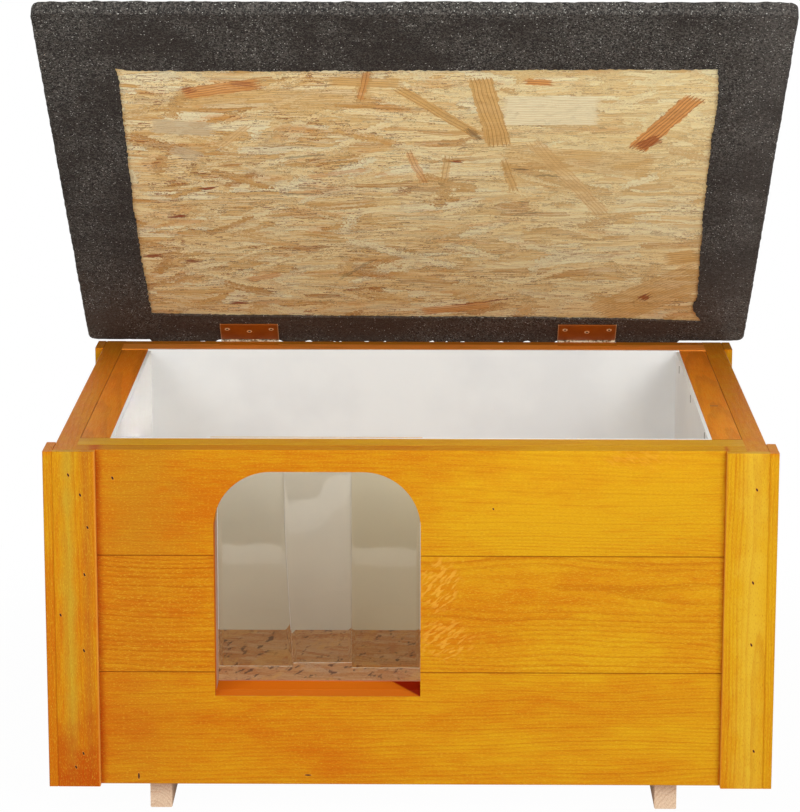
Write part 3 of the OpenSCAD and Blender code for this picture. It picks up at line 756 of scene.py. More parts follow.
def add_strands(graph, plain, colour):
    """Lay the placed strands over the board's colour, one tone after the other."""
    place = plain + graph.shift(plain, 0.14, 3.0, 0.6) * (9, 6, 0)
    waver = graph.noise(plain, scale=0.02, detail=1.0) * 14.0
    for body, line, strands in PLACED.values():
        mask = lines = 0.0
        for start_x, start_y, end_x, end_y, wide, strength in strands:
            middle = ((start_x + end_x) / 2, (start_y + end_y) / 2, 6)
            length = math.hypot(end_x - start_x, end_y - start_y)
            cos, sin = (end_x - start_x) / length, (end_y - start_y) / length
            strand = graph.group(PLACED_STRAND, vector=place, plain=plain, middle=middle, along=(cos, sin, 0),
                                 across=(-sin, cos, 0), long=length, wide=wide, strength=strength,
                                 waver=waver, mask=mask, lines=lines)
            mask, lines = strand.mask, strand.lines
        colour = graph.paint(colour, (mask, body), (lines * 0.8, line))
    return colour


def strand_finish(name, floor):
    """Pressed strands in straw, tan and brown with bark flecks and dark rims, part glue line and part painted
    shade.

    On the lid the pattern lies in the lid's own plane, so the place is turned back by the lid's angle.
    """
    graph = new_material(name)
    place = graph.object_place()
    if floor:
        place = graph.out("Mapping", {"Vector": place + (300, 120, 30), "Rotation": (0, 0, 0.25)})
    else:
        move = -(LID_TURN.inverted() @ (PIN / MM))
        place = graph.out("Mapping", {"Vector": place, "Location": move, "Rotation": (-LID_TILT, 0, 0)})
    board = graph.group(STRAND_BOARD, vector=place)
    colour = graph.ramp(board.tone, [(0.0, (255, 246, 204)), (0.25, (255, 232, 172)), (0.6, (244, 212, 146)),
                                     (0.85, (230, 188, 116)), (1.0, (206, 152, 82))])
    colour = graph.paint(
        colour, (board.fibre.step(0.5, 0.95, 0.0, 0.5), (255, 248, 212)),
        (board.fibre.step(0.45, 0.05, 0.0, 0.5), (196, 140, 72)),
        (board.streak.step(0.56, 0.7, 0.0, 0.3), (255, 246, 208)),
        (board.streak.step(0.4, 0.28, 0.0, 0.5), (172, 116, 56)),
        (board.warm * 0.65, (222, 150, 62)), (board.grey * 0.35, (206, 184, 146)),
        # Dark rims of the strands: part glue line, part painted shade in the gaps between strands
        (board.edge * 0.6, (136, 88, 42)), (board.hair * 0.85, (120, 74, 36)),
        (board.splinter * 0.85, (156, 80, 32)))
    if floor:
        dark = graph.drawn(place, (9, 26, 1), 3.0, 0.6)
        pale = graph.noise(place * (1 / 22, 1 / 60, 0.7), detail=3.0, rough=0.6)
        colour = graph.paint(colour, (0.6, (186, 90, 20)), (dark.step(0.56, 0.66, 0.0, 0.85), (90, 44, 14)),
                             (pale.step(0.52, 0.66, 0.0, 0.6), (226, 170, 96)))
    else:
        across, depth = graph.split(place)[0:2]
        # Painted light: the lid's board grows paler towards its right side and its front edge
        bright = across.step(-120, 240) * depth.step(0, -460, 0.3, 1.0)
        colour = add_strands(graph, place, graph.mix(bright * 0.36, colour, (255, 238, 178)))
    return graph.surface(colour, 0.6, 0.3, board.height - board.hair * 0.4, 0.5)


finish(strand_finish("lid strand board", floor=False), "lid_board")
finish(strand_finish("floor strand board", floor=True), "floor_panel")


# Smooth white liner and foam

def liner_finish(name, cut=False):
    """Satin white board with a faint uneven tone and a light orange-peel surface.

    Round the doorway the front liner's cut edge has a dull core, and stain has run over it at the sill.
    """
    graph = new_material(name)
    place = graph.object_place()
    cloud = graph.noise(place, scale=0.012, detail=3.0)
    colour = graph.mix(cloud.step(0.35, 0.7), (246, 249, 249), (238, 241, 242))
    if cut:
        depth, height = graph.split(place)[1:3]
        core = (depth < high("front_liner").y / MM - 0.05) * (height < STRIP_TOP / MM - 20)
        core_shade = graph.mix(height.step(SILL + 1, SILL + 0.2), (186, 156, 136), (200, 100, 24))
        colour = graph.mix(core, colour, core_shade)
    return graph.surface(colour, 0.38, 0.35, graph.noise(place, scale=0.5), 0.06)


def foam_finish():
    """Pressed white foam beads: each cell is a bead with a dark gap round it."""
    graph = new_material("foam beads")
    edge = graph.cells(graph.object_place(), 0.28, "DISTANCE_TO_EDGE").distance.step(0.0, 0.12)
    return graph.surface(graph.mix(edge, (214, 216, 218), (246, 246, 246)), 0.8, height=edge, depth=0.4)


SILL = high("doorway_sill_batten").z / MM
finish(liner_finish("white liner"), "rear_liner", "left_liner", "right_liner")
finish(liner_finish("cut white liner", cut=True), "front_liner")
finish(foam_finish(), "front_insulation", "rear_insulation", "left_insulation", "right_insulation")


# Roofing felt

# Height of the lid's front edge above the ground
EDGE_HEIGHT = (PIN + LID_TURN @ Vector((0, LID_FRONT, LID_UNDER))).z / MM


def felt_finish():
    """Mineral felt: dark bitumen with packed grit, pale grains in clouds, and brown low on the lid.

    Where the cloud is dense the grit is coarse and greenish grey; elsewhere the bitumen shows, smooth and
    brownish. The lid's front edge carries the thickest grit, and its right side has a painted light grey.
    """
    graph = new_material("roofing felt")
    place = graph.object_place()
    coarse, grit = graph.cells(place, scale=0.62), graph.cells(place, scale=1.15)
    shade, chance = graph.split(grit.color)[0:2]
    lump = graph.split(coarse.color)[0]
    fine = graph.noise(place, scale=1.4, detail=3.0, rough=0.7)
    cloud = graph.noise(place, scale=0.011, detail=5.0, rough=0.62).step(0.36, 0.64)
    across, depth, height = graph.split(place)
    # Painted light: a paler grey on the felt along the lid's right side, lit more from the right
    right_painted_light = across.step(300.0, 370.0) * cloud.step(0.0, 1.0, 0.5, 1.0)
    dense = graph.larger(cloud, height.step(EDGE_HEIGHT - 14, EDGE_HEIGHT + 8))
    strength = 0.25 + dense * 0.6
    bright = chance > dense.step(0.0, 1.0, 0.988, 0.96)
    colour = graph.paint(
        graph.mix(dense, (42, 35, 31), (46, 42, 39)), (height.step(520.0, 375.0) * 0.75, (80, 60, 46)),
        (right_painted_light * 0.35, (108, 102, 98)), (lump.step(0.45, 1.0) * strength, (104, 98, 92)),
        (lump.step(0.45, 0.0) * strength, (12, 10, 10)), (fine.step(0.52, 0.78, 0.0, 0.75), (112, 104, 96)),
        (fine.step(0.46, 0.24, 0.0, 0.7), (14, 12, 12)),
        (shade.step(0.72, 1.0) * cloud.step(0.0, 1.0, 0.3, 0.8), (118, 116, 108)),
        (bright * shade.step(0.2, 1.0), (206, 204, 196)))
    return graph.surface(colour, 0.85, 0.25, (1.0 - coarse.distance * 0.9) * (0.3 + dense) + fine, 0.7)


SIDE_SHARE = np.linspace(0, 1, 190, endpoint=False)

# Ripples of the felt: height and length in millimetres, and seed
TORN_EDGE = [(0.6, 60, 11), (0.8, 9, 21), (0.6, 3.5, 31)]
UNDERSIDE = [(0.45, 46, 41), (0.22, 8, 42)]
UPPER_SIDE = [(0.5, 70, 43)]
EDGE_GRIT = [(0.55, 9, 44), (0.4, 70, 45)]


def lid_outline(inset):
    """Rounded rectangle of the lid, moved in by inset: four sides, each from one corner's middle to the next.

    Along a side the place runs straight, and within the corner radius of each end it follows the arc.
    """
    left, right = LEFT_EDGE + inset, RIGHT_EDGE - inset
    front, rear = LID_FRONT + inset, LID_REAR - inset
    radius = max(LID_CORNER - inset, 0.6 * MM)
    corners = [(left, rear), (left, front), (right, front), (right, rear)]
    middle = np.array([(left + right) / 2, (front + rear) / 2])
    ring = []
    for number in range(4):
        a, b = np.array(corners[number]), np.array(corners[(number + 1) % 4])
        length = np.linalg.norm(b - a)
        forward = (b - a) / length
        inward = middle - (a + b) / 2
        inward /= np.linalg.norm(inward)
        arc = radius * math.pi / 4
        total = length - 2 * radius + 2 * arc
        run = SIDE_SHARE * total
        angle = np.clip((arc - run) / radius, 0, None)
        late = np.clip((run - (total - arc)) / radius, 0, None)
        along = radius * (1 - np.sin(angle) + np.sin(late)) + np.clip(run - arc, 0, length - 2 * radius)
        lift = radius * (2 - np.cos(angle) - np.cos(late))
        ring.append(a + along[:, None] * forward + lift[:, None] * inward)
    return np.vstack(ring)


# The cut edge of the folded felt, in the lid's own millimetres: each row is one side as cut by hand, from the
# rear left corner round by the front
WINDOW_SIDES = [
    [(-296, -55), (-298.5, -168), (-299, -276), (-297, -402), (-295, -520), (-297, -549)],
    [(-297, -549), (-283, -544.5), (-112, -544.5), (88, -546.5), (188, -548), (305, -548.5)],
    [(305, -548.5), (310, -499), (309, -416), (311, -278), (316, -131), (317.5, -92), (313.5, -78),
     (314.5, -67), (327, -40)],
    [(327, -40), (256, -45), (166, -48), (-15, -49.5), (-128, -51), (-219, -52), (-296, -55)],
]


def window_outline():
    """The cut edge of the folded felt: four cuts between its corners, torn a little unevenly."""
    ring = []
    for number, side in enumerate(WINDOW_SIDES):
        marks = np.array(side) * MM
        spans = np.linalg.norm(np.diff(marks, axis=0), axis=1)
        reach = np.concatenate([[0], np.cumsum(spans)])
        run = SIDE_SHARE * reach[-1]
        flat = np.column_stack([np.interp(run, reach, marks[:, 0]), np.interp(run, reach, marks[:, 1])])
        forward = (marks[-1] - marks[0]) / np.linalg.norm(marks[-1] - marks[0])
        aside = np.array([-forward[1], forward[0]])
        fade = np.minimum(1, np.minimum(SIDE_SHARE, 1 - SIDE_SHARE) * 30)
        tear = swell(run[:, None], TORN_EDGE, shift=number)
        ring.append(flat + (tear * fade)[:, None] * aside)
    return np.vstack(ring)


# The felt's fringe at the rear: how far out and down it hangs, where it ends before the rear trims, and how
# far it stays from a hinge's middle
FRINGE_OUT = 4.2 * MM
FRINGE_DOWN = 2.1 * MM
FRINGE_END = 302 * MM
HINGE_ROOM = 34 * MM


def rear_fringe(stack):
    """Let the fold's rear lower edge hang out and down a little, away from the hinges and the rear trims."""
    x, y, z = stack[..., 0], stack[..., 1], stack[..., 2]
    near = np.clip((y - LID_REAR + 9 * MM) / (6 * MM), 0, 1) ** 2
    under = np.clip(1 - (z - LID_UNDER - 1 * MM) / (6 * MM), 0, 1)
    uneven = 0.75 + 0.6 * ripples(x[..., None], 22 * MM, 51) + 0.3 * ripples(x[..., None], 6 * MM, 52)
    uneven = np.where(x > 140 * MM, 1.0, np.clip(uneven, 0.1, 1.0))
    clear = np.clip((FRINGE_END - np.abs(x)) / (3 * MM), 0, 1)
    for middle in HINGE_PLACES:
        clear = np.minimum(clear, np.clip((np.abs(x - middle) - HINGE_ROOM) / (2 * MM), 0, 1))
    share = near * under * uneven * clear
    y += FRINGE_OUT * share
    z -= FRINGE_DOWN * share


def roughen_edge(edge, edge_ring):
    """Move the lid's outer edge in and out by its grit, and hold it back where it leans on the rear trims."""
    outward = edge - np.array([0, 0, (LID_UNDER + LID_TOP) / 2])
    outward[..., :2] -= edge_ring
    outward /= np.linalg.norm(outward, axis=-1)[..., None]
    grit = swell(edge, EDGE_GRIT)
    leaning = (edge[..., 1] > LID_REAR - 25 * MM) & (np.abs(edge[..., 0]) > 300 * MM)
    grit = np.where(leaning, np.minimum(grit, 0) - 0.25 * MM, grit)
    edge += outward * grit[..., None]
    edge[..., 2] = np.maximum(edge[..., 2], LID_UNDER + 0.05 * MM)


def lid_skin():
    """Felt wrapped round the lid board.

    The skin is a stack of rings: out from a pole inside the top, down the inside of the edge, in to the
    window, over its cut edge, back out along the underside, round the edge and in to a pole on the top.
    Its outer face rises and falls with ripples, only inwards under the lid so that it closes on the rails.
    """
    outline, inner, edge_ring = lid_outline(0), lid_outline(FELT_THICK), lid_outline(FELT_ROUND)
    window = window_outline()
    middle = np.array([(LEFT_EDGE + RIGHT_EDGE) / 2, (LID_FRONT + LID_REAR) / 2])
    board_under, board_top = LID_UNDER + FELT_THICK, LID_TOP - FELT_THICK

    def ring(flat, level):
        return np.column_stack([flat, np.broadcast_to(level, len(flat))])

    def toward(a, b, share):
        return a + (b - a) * share

    rings = [ring(toward(middle, inner, share), board_top) for share in (0.01, 0.35, 0.7, 1.0)]
    rings += [ring(toward(inner, window, share), board_under) for share in (0.0, 0.5, 1.0)]
    for share in np.linspace(0, 1, 40) ** 0.8:
        flat = toward(window, edge_ring, share)
        sink = swell(flat, UNDERSIDE, base=1) * min(1.0, share * 12 + 0.5)
        rings.append(ring(flat, LID_UNDER + np.clip(sink, 0, 1.4 * MM)))
    edge_start = len(rings)
    turns = np.linspace(0, math.pi / 2, 7)[1:]
    for angle in turns:
        flat = lid_outline(FELT_ROUND * (1 - math.sin(angle)))
        rings.append(ring(flat, LID_UNDER + FELT_ROUND * (1 - math.cos(angle))))
    for level in np.linspace(LID_UNDER + FELT_ROUND, LID_TOP - FELT_ROUND, 8)[1:]:
        rings.append(ring(outline, level))
    for angle in turns:
        flat = lid_outline(FELT_ROUND * (1 - math.cos(angle)))
        rings.append(ring(flat, LID_TOP - FELT_ROUND * (1 - math.sin(angle))))
    edge_end = len(rings)
    for share in np.linspace(0, 0.99, 46)[1:]:
        flat = toward(edge_ring, middle, share)
        rings.append(ring(flat, LID_TOP - swell(flat, UPPER_SIDE, base=1) * min(1, share * 20)))
    stack = np.array(rings)
    roughen_edge(stack[edge_start:edge_end], edge_ring)
    rear_fringe(stack)
    points, faces = loft_mesh(stack)
    return on_lid(points), faces


points, faces = lid_skin()
felt = new_piece("lid_felt_skin", points, faces, "lid", felt_finish(), crease=50)
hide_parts("lid_felt")


# Clear strips

def strip_finish(name, tint):
    """Clear soft plastic: lets light through with a warm tint, and mirrors the floor in front of the house."""
    graph = new_material(name)
    place = graph.object_place()
    scuff = graph.noise(place * (0.9, 0.9, 0.04), detail=3.0).step(0.55, 0.9, 0.0, 0.06)
    wave = graph.noise(place * (0.02, 0.012, 0.012), detail=1.0)
    through = graph.out("BsdfTransparent", {"Color": (0.86, 0.86, 0.86, 1.0)})
    graph.overlay(graph.light_path().is_shadow_ray, through)
    return graph.surface(tint, scuff, None, wave, 0.25, transmission_weight=1.0, ior=1.6)


# For each strip: its left and right edge, how far these have moved to the right at its foot, how it leans at
# five places from its left to its right edge (in degrees), its foot above the ground and its tint
STRIPS = {"left": (-193.3, -126.6, (0, 8), (0.0, 0.05, 0.05, -0.05, -0.2), 138.3, (229, 222, 200)),
          "middle": (-126.4, -59.6, (8, 0), (2.5, 2.5, 2.7, 3.5, 3.6), 140.8, (232, 226, 208)),
          "right": (-59.4, 9.2, (0, 0), (-0.2, -0.2, -0.2, -0.22, -0.26), 136.9, (220, 210, 180))}
STRIP_CORNER = 0.35 * MM

# The lean grows in over the first of these lengths and eases out over the second; an edge that shifts to the
# side does so below this height
LEAN_START = 10 * MM
LEAN_EASE = 200 * MM
SLANT_TOP = 300 * MM


def strip_section(left, right, front, back):
    """Cross-section of a strip from above: a thin rectangle with rounded corners, 14 points on each face."""
    turns = np.linspace(0, math.pi / 2, 4)
    corner = STRIP_CORNER * np.column_stack([np.sin(turns), 1 - np.cos(turns)])
    run = np.linspace(left + STRIP_CORNER, right - STRIP_CORNER, 16)[1:-1]
    lower = np.vstack([np.column_stack([run, np.full(14, front)]),
                       np.column_stack([right - STRIP_CORNER + corner[:, 0], front + corner[:, 1]]),
                       np.column_stack([right - corner[:, 1], back - STRIP_CORNER + corner[:, 0]])])
    upper = np.column_stack([left + right - lower[:, 0], front + back - lower[:, 1]])
    return np.vstack([lower, upper])


def strip_rings(side):
    """A strip as a stack of rounded cross-sections from its clamped head to its foot.

    Under the clamp each strip leans into the house by a small angle that differs across it, so that it is
    a little curved; the lean grows in over its first centimetre and eases out towards its foot.
    """
    flap = "strip_" + side + "_flap"
    left, right, slants, leans, foot = STRIPS[side][:5]
    left, right, foot = left * MM, right * MM, foot * MM
    section = strip_section(left, right, low(flap).y, high(flap).y)
    levels = np.concatenate([np.linspace(STRIP_TOP, STRIP_BEND + 14 * MM, 12),
                             np.linspace(STRIP_BEND + 12 * MM, STRIP_BEND - 12 * MM, 25),
                             np.linspace(STRIP_BEND - 14 * MM, foot, 40)])
    rings = np.zeros((len(levels), len(section), 3))
    rings[..., :2] = section
    rings[..., 2] = levels[:, None]
    share = np.clip((rings[..., 0] - left) / (right - left), 0, 1)
    lean = np.radians(np.interp(share, np.linspace(0, 1, len(leans)), leans))
    drop = np.clip(low("strip_clamp_batten").z - rings[..., 2], 0, None)
    reach = drop - LEAN_START * (1 - np.exp(-drop / LEAN_START))
    rings[..., 1] += np.sin(lean) * reach * np.exp(-drop / LEAN_EASE)
    slant = np.interp(share, [0, 1], slants) * MM
    rings[..., 0] += slant * np.clip((SLANT_TOP - rings[..., 2]) / (SLANT_TOP - foot), 0, 1) ** 1.3
    return rings


for side in STRIPS:
    points, faces = loft_mesh(strip_rings(side))
    clear = strip_finish("clear " + side + " strip", STRIPS[side][5])
    sheet = new_piece("strip_" + side + "_sheet", points, faces, None, clear)
    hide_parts("strip_" + side + "_head", "strip_" + side + "_flap")
    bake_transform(sheet)


# Hinges, screws, brads and staples

def painted_steel():
    """Brown lacquer on the leaf, worn in fine scratches; rolled knuckles of bare bright steel with painted
    glints.
    """
    graph = new_material("lacquered leaf")
    place = graph.object_place()
    patch = graph.noise(place, scale=0.06, detail=3.0)
    wear = graph.noise(place, scale=0.8, detail=4.0, rough=0.7).step(0.62, 0.72)
    knuckle = graph.length((place - tuple(PIN / MM)) * (0, 1, 1)).step(3.7, 3.3)
    # Painted glints: pale patches on the bare knuckles
    glint = graph.noise(place, scale=0.35).step(0.42, 0.56)
    ends = [middle / MM + end for middle in HINGE_PLACES for end in (-33, 33)]
    # Pale rim at the leaves' ends: bare metal at the edge, with a painted highlight
    rim = near_places(graph, graph.split(place)[0], ends, 1.1)
    bare = graph.mix(glint, (138, 108, 72), (236, 220, 190))
    colour = graph.paint(graph.mix(patch, (172, 90, 16), (136, 64, 10)), (wear, (196, 140, 80)),
                         (rim * 0.8, (232, 190, 140)), (knuckle, bare))
    return graph.surface(colour, patch.step(0.3, 0.7, 0.35, 0.5), None, patch, 0.1, metallic=knuckle * 0.25)


def metal(name, light, dark, rough):
    """Plated metal with fine cloudy spangle."""
    graph = new_material(name)
    spangle = graph.split(graph.cells(graph.object_place(), scale=0.5).color)[0]
    return graph.surface(graph.mix(spangle, light, dark), rough + spangle * 0.15, metallic=1.0)


def head_finish(name, middle, rim, start, end):
    """A small head whose colour turns from its dark middle to its pale rim between two shares of its reach."""
    graph = new_material(name)
    reach = graph.out("Attribute", {}, "Fac", attribute_name="reach")
    return graph.surface(graph.mix(reach.step(start, end), middle, rim), 0.45, 0.2)


def set_reach(piece, values):
    """Store how far out from its middle each point of a head lies, from 0 to 1."""
    layer = piece.data.attributes.new("reach", "FLOAT", "POINT")
    layer.data.foreach_set("value", values)


ZINC = metal("zinc steel", (214, 214, 214), (188, 188, 190), 0.28)
# Screw heads: brown lacquer, with painted shade in the dark middle of the recess and a painted glint on the
# pale rim
SCREW_SHADE_AND_GLINT = head_finish("lacquered screws", (70, 30, 8), (250, 216, 168), 0.42, 0.62)
STAPLE = metal("staple wire", (120, 104, 84), (84, 72, 58), 0.4)
finish(painted_steel(), "left_hinge_body_leaf", "left_hinge_lid_leaf", "right_hinge_body_leaf",
       "right_hinge_lid_leaf")
finish(ZINC, "hinge_pins")

# A screw's outline from the middle of its recess to its tip: radius and depth below the head's face
LEAF_SCREW = [(0.15, 1.0), (0.8, 0.6), (1.6, 0.12), (2.2, 0.0), (2.8, 0.0), (3.0, 0.15), (1.5, 1.5),
              (1.4, 9.5), (0.2, 12.0)]
CLAMP_SCREW = [(0.15, -0.7), (0.7, -1.0), (1.4, -1.5), (2.2, -1.7), (2.9, -1.4), (3.4, -0.6), (3.4, 0.0),
               (1.5, 0.0), (1.4, 27.0), (0.2, 30.0)]


RECESS_REACH = 2.0


def screw_rings(outline, turn):
    """Rings of a screw along its own z axis, turned by an angle; its recess is a four-pointed star.

    Points on the star's arms keep the outline's depth, and those between them rise to the head's face.
    """
    angles = np.arange(12) * math.pi / 6 + turn
    on_arm = np.arange(12) % 3 == 0
    face = min(depth for radius, depth in outline)
    rings = []
    for radius, depth in outline:
        shallow = face if 0.3 < radius < RECESS_REACH else depth
        level = np.where(on_arm, depth, shallow)
        rings.append(np.column_stack([radius * np.cos(angles), radius * np.sin(angles), level]) * MM)
    return np.array(rings)


def screw_set(name, node, outline, places, to_house, body, material):
    """Screws at the given places of a frame whose z runs into the wood; to_house turns its points."""
    parts = []
    for number, (x, y, z) in enumerate(places):
        points, faces = loft_mesh(screw_rings(outline, 0.4 + 1.3 * number) + np.array([x, y, z]))
        parts.append((to_house(points), faces))
    points, faces = join_lofts(parts)
    piece = new_piece(name, points, faces, body, material)
    radii = np.array([radius for radius, depth in outline])
    reach = np.concatenate([np.repeat(radii / radii.max(), 12), radii[[0, -1]] / radii.max()])
    set_reach(piece, np.tile(reach, len(places)))
    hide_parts(node)


def on_rear(points):
    """Turn points of a body leaf's own frame, which faces the rear, into the house's frame."""
    return np.column_stack([points[:, 0], PIN.y - points[:, 2], PIN.z + points[:, 1]])


def on_clamp(points):
    """Turn points of a clamp screw's own frame, which faces the inside, into the house's frame."""
    middle = (low("strip_clamp_batten").z + high("strip_clamp_batten").z) / 2
    face = high("strip_clamp_batten").y
    return np.column_stack([points[:, 0], face - points[:, 2], middle + points[:, 1]])


LEAF_FACE = 1.55 * MM
LEAF_PLACES = [(middle + pitch * MM, -reach * MM, LEAF_FACE) for middle in HINGE_PLACES
               for pitch, reach in [(-25, 26), (0, 21), (25, 26)]]
HEADS = ("strip_left_head", "strip_middle_head", "strip_right_head")
CLAMP_PLACES = [(low(head).x + (high(head).x - low(head).x) * share, 0.0, 0.0)
                for head in HEADS for share in (0.25, 0.75)]
screw_set("lid_leaf_screws", "lid_hinge_screws", LEAF_SCREW, LEAF_PLACES, on_lid, "lid", SCREW_SHADE_AND_GLINT)
screw_set("body_leaf_screws", "body_hinge_screws", LEAF_SCREW, LEAF_PLACES, on_rear, "house", SCREW_SHADE_AND_GLINT)
screw_set("clamp_screws", "strip_clamp_screws", CLAMP_SCREW, CLAMP_PLACES, on_clamp, "house", ZINC)


# Brad heads on the front, as seen: place across and above the ground, half width, half height
BRADS = [
    (-334.9, 351.6, 0.9, 1.7), (-323.6, 331.5, 0.9, 1.7), (-316.9, 298.7, 0.9, 1.6), (-320.8, 250.8, 0.9, 1.7),
    (-345.2, 209.5, 0.9, 1.6), (-322.8, 173.0, 0.9, 1.7), (-325.3, 66.6, 0.9, 1.7), (-333.0, 52.3, 0.9, 1.7),
    (338.6, 338.5, 0.9, 1.5), (336.9, 244.4, 0.9, 1.6), (336.6, 181.1, 0.9, 1.6), (341.5, 71.2, 0.9, 1.5),
    (-292.4, 346.5, 1.0, 1.7), (81.4, 316.3, 0.8, 1.0), (-271.3, 40.3, 0.9, 3.2), (-102.1, 41.8, 3.2, 0.7),
]


def brad_rings(x, z, half_x, half_z):
    """A flat oval dome on the front's face, its rim sunk in the wood, leaning a little to the left."""
    face = BOARD_FACE if LEFT_TRIM_EDGE < x * MM < RIGHT_TRIM_EDGE else FRONT_FACE
    angles = np.arange(10) * math.pi / 5
    rings = []
    for share, rise in [(1.35, -0.3), (1.35, 0.02), (1.0, 0.09), (0.6, 0.13), (0.25, 0.15)]:
        across = share * half_x * np.cos(angles)
        up = share * half_z * np.sin(angles)
        lean = -0.3 * up if half_z < 3 else 0 * up
        rings.append(np.column_stack([(x + across + lean) * MM, np.full(10, face - rise * MM), (z + up) * MM]))
    return np.array(rings)


def add_brads():
    """All brad heads as one piece, with how far out from its middle each point lies."""
    points, faces = join_lofts([loft_mesh(brad_rings(*row)) for row in BRADS])
    finish_of_heads = head_finish("brad heads", (56, 22, 6), (216, 138, 44), 0.62, 0.85)
    piece = new_piece("brad_heads", points, faces, "house", finish_of_heads)
    reach = np.concatenate([np.repeat([1.0, 1.0, 0.67, 0.4, 0.17], 10), [1.0, 0.0]])
    set_reach(piece, np.tile(reach, len(BRADS)))


# Staples: middle of the crown, which way the crown runs and which way it faces
INNER = low("right_liner")
STAPLES = [((314.1, -70.7, high("right_top_rail").z / MM), (1, 0, 0), (0, 0, 1)),
           ((INNER.x / MM, 166.3, 364.8), (0, 0.1, 1), (-1, 0, 0)),
           ((INNER.x / MM, 2.5, 366.9), (0, 0, 1), (-1, 0, 0)),
           ((INNER.x / MM, -180.8, 367.4), (0, -0.05, 1), (-1, 0, 0))]


def staple_rings(middle, along, outward):
    """A staple's wire of 1.1 x 0.7 mm: down one leg, along the crown and down the other leg."""
    middle, along, outward = np.array(middle), np.array(along), np.array(outward)
    aside = np.cross(along, outward)
    angles = np.arange(8) * math.pi / 4
    path = [(-4.6, -1.5), (-4.5, -0.2), (-4.1, 0.05), (4.1, 0.05), (4.5, -0.2), (4.6, -1.5)]
    facing = [(1, 0), (1, 0.2), (0.4, 1), (-0.4, 1), (-1, 0.2), (-1, 0)]
    rings = []
    for (run, rise), (lift_run, lift_rise) in zip(path, facing):
        thick = np.array([lift_run, lift_rise]) / math.hypot(lift_run, lift_rise) * 0.35
        centre = middle + run * along + rise * outward
        flat = thick[0] * along + thick[1] * outward
        rings.append((centre + 0.55 * np.cos(angles)[:, None] * aside + np.sin(angles)[:, None] * flat) * MM)
    return np.array(rings)


add_brads()
points, faces = join_lofts([loft_mesh(staple_rings(*row)) for row in STAPLES])
new_piece("staples", points, faces, "house", STAPLE)


# Camera as the photograph was taken

CAMERA_PLACE = Vector((0.0196184, -3.4303442, 1.1005836))
CAMERA_YAW = math.radians(-0.5452)
CAMERA_PITCH = math.radians(12.2008)
CAMERA_ROLL = math.radians(-0.0342)
CAMERA_LENS = 146.47


def add_camera():
    """Camera from its place, its turn about Z, its tilt down and its small roll."""
    data = bpy.data.cameras.new("photograph view")
    data.lens, data.sensor_width, data.clip_end = CAMERA_LENS, 36, 60
    camera = add_object("photograph view", data)
    forward = Vector((math.sin(CAMERA_YAW) * math.cos(CAMERA_PITCH),
                      math.cos(CAMERA_YAW) * math.cos(CAMERA_PITCH), -math.sin(CAMERA_PITCH)))
    right = Vector((math.cos(CAMERA_YAW), -math.sin(CAMERA_YAW), 0))
    down = forward.cross(right)
    across = math.cos(CAMERA_ROLL) * right + math.sin(CAMERA_ROLL) * down
    fall = math.cos(CAMERA_ROLL) * down - math.sin(CAMERA_ROLL) * right
    turn = Matrix((across, -fall, -forward)).transposed().to_4x4()
    camera.matrix_world = Matrix.Translation(CAMERA_PLACE) @ turn
    scene.camera = camera


add_camera()


# Studio: pale floor, white surroundings and soft lamps

FLOOR_HALF = 8.0
WORLD_LEVEL = 0.28

# The soft lamps, each with its place, size and power, and the place on the house that they face
LAMPS = [((-1.5, -2.7, 1.8), 1.4, 31.0), ((1.5, -2.7, 1.8), 1.4, 37.0), ((-1.3, -2.6, 0.75), 1.2, 3.0),
         ((1.3, -2.6, 0.75), 1.2, 10.0), ((0.0, -1.3, 2.6), 1.4, 17.0)]
LAMP_TARGET = (0, -0.1, 0.35)

# A narrow lamp at the right that reaches into the box: its place, the place on the left wall that it faces,
# its size and its power
INSIDE_LAMP = ((2.0, -1.0, 1.0), (-0.29, 0.02, 0.33), 0.2, 0.12)
INSIDE_SPREAD = 6


# Painted reflection for the strips, glowing on the floor for mirror rays, by its place from 1.8 m to 0.4 m
# out:
# a dim room, the pale edge of a sheet on the floor, and the sheet growing dimmer towards the house
PAINTED_REFLECTION_SHADES = [
    (0.0, (235, 234, 232)), (0.143, (222, 220, 216)), (0.27, (140, 136, 130)), (0.36, (70, 66, 60)),
    (0.402, (50, 46, 40)), (0.405, (255, 255, 255)), (0.462, (252, 250, 250)), (0.47, (190, 184, 176)),
    (0.62, (165, 158, 146)), (0.8, (120, 112, 98)), (1.0, (100, 92, 78)),
]


def shows_white(graph):
    """1 for the rays that see the surroundings directly, in a mirror or through glass."""
    path = graph.light_path()
    return graph.larger(graph.larger(path.is_camera_ray, path.is_glossy_ray), path.is_transmission_ray)


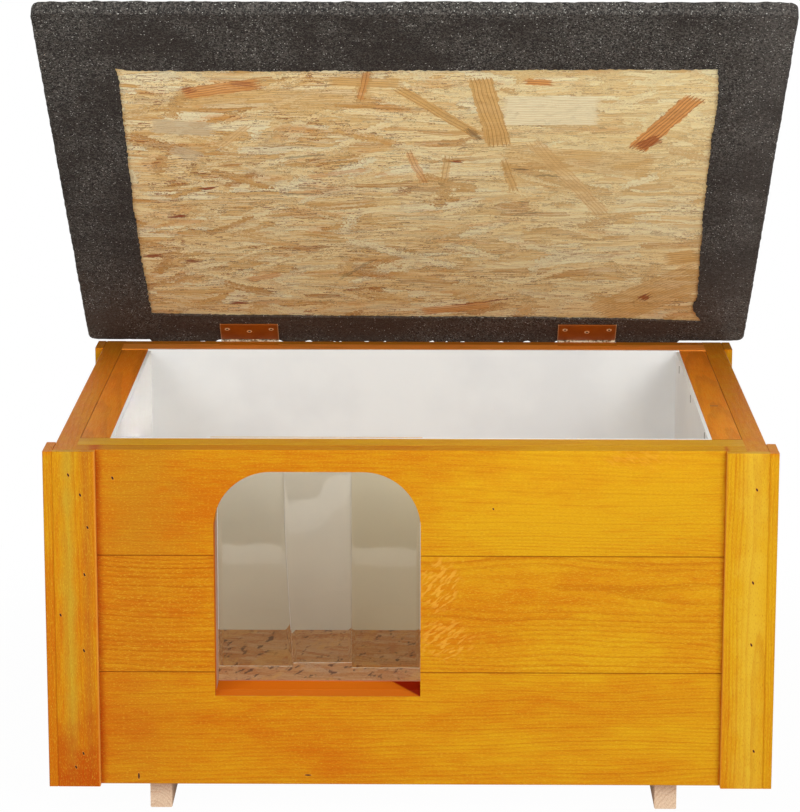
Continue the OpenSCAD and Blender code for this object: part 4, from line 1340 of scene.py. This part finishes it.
def add_floor():
    """Pale floor with a soft shadow near the house, plain white further out, and a painted reflection in
    mirrors.
    """
    corners = [(-1, -1), (1, -1), (1, 1), (-1, 1)]
    mesh = bpy.data.meshes.new("studio floor")
    mesh.from_pydata([(x * FLOOR_HALF, y * FLOOR_HALF, 0) for x, y in corners], [], [(0, 1, 2, 3)])
    floor = add_object("studio_floor", mesh)
    graph = new_material("studio floor")
    place = graph.object_place()
    front = graph.split(place)[1]
    run = graph.out("MapRange", {"Value": front, "From Min": -1800.0, "From Max": -400.0})
    # Mirror rays see the painted reflection glowing on the floor in front of the house
    mirrored = graph.light_path().is_glossy_ray * (front < -400.0)
    glow = graph.mix(mirrored, (1, 1, 1, 1), graph.ramp(run, PAINTED_REFLECTION_SHADES))
    far = graph.length(place).step(450.0, 950.0, 0.98, 1.0)
    graph.overlay(far * shows_white(graph), graph.out("Emission", {"Color": glow, "Strength": 1.0}))
    mesh.materials.append(graph.surface((0.86, 0.86, 0.86, 1.0), 0.9, 0.0))


def add_world():
    """Even white light, and plain white for whatever sees the surroundings."""
    world = bpy.data.worlds.new("studio")
    world.use_nodes = True
    graph = Graph(world.node_tree)
    world.node_tree.nodes.clear()
    skies = [graph.out("Background", {"Color": (1, 1, 1, 1), "Strength": level})
             for level in (WORLD_LEVEL, 1.0)]
    mixed = graph.out("MixShader", {0: shows_white(graph), 1: skies[0], 2: skies[1]})
    graph.put(graph.node("OutputWorld").inputs[0], mixed)
    scene.world = world


def add_lamp(name, place, target, size, power, spread=180):
    """A square soft lamp that faces a target; spread is the angle of its beam in degrees."""
    data = bpy.data.lights.new(name, "AREA")
    data.size = size
    data.energy = power
    data.spread = math.radians(spread)
    lamp = add_object(name, data)
    lamp.location = place
    lamp.rotation_euler = (Vector(target) - Vector(place)).to_track_quat("-Z", "Y").to_euler()


add_floor()
add_world()
for number, (place, size, power) in enumerate(LAMPS):
    add_lamp("soft lamp %d" % number, place, LAMP_TARGET, size, power)
add_lamp("inside lamp", *INSIDE_LAMP, spread=INSIDE_SPREAD)
scene.view_settings.view_transform = "Standard"
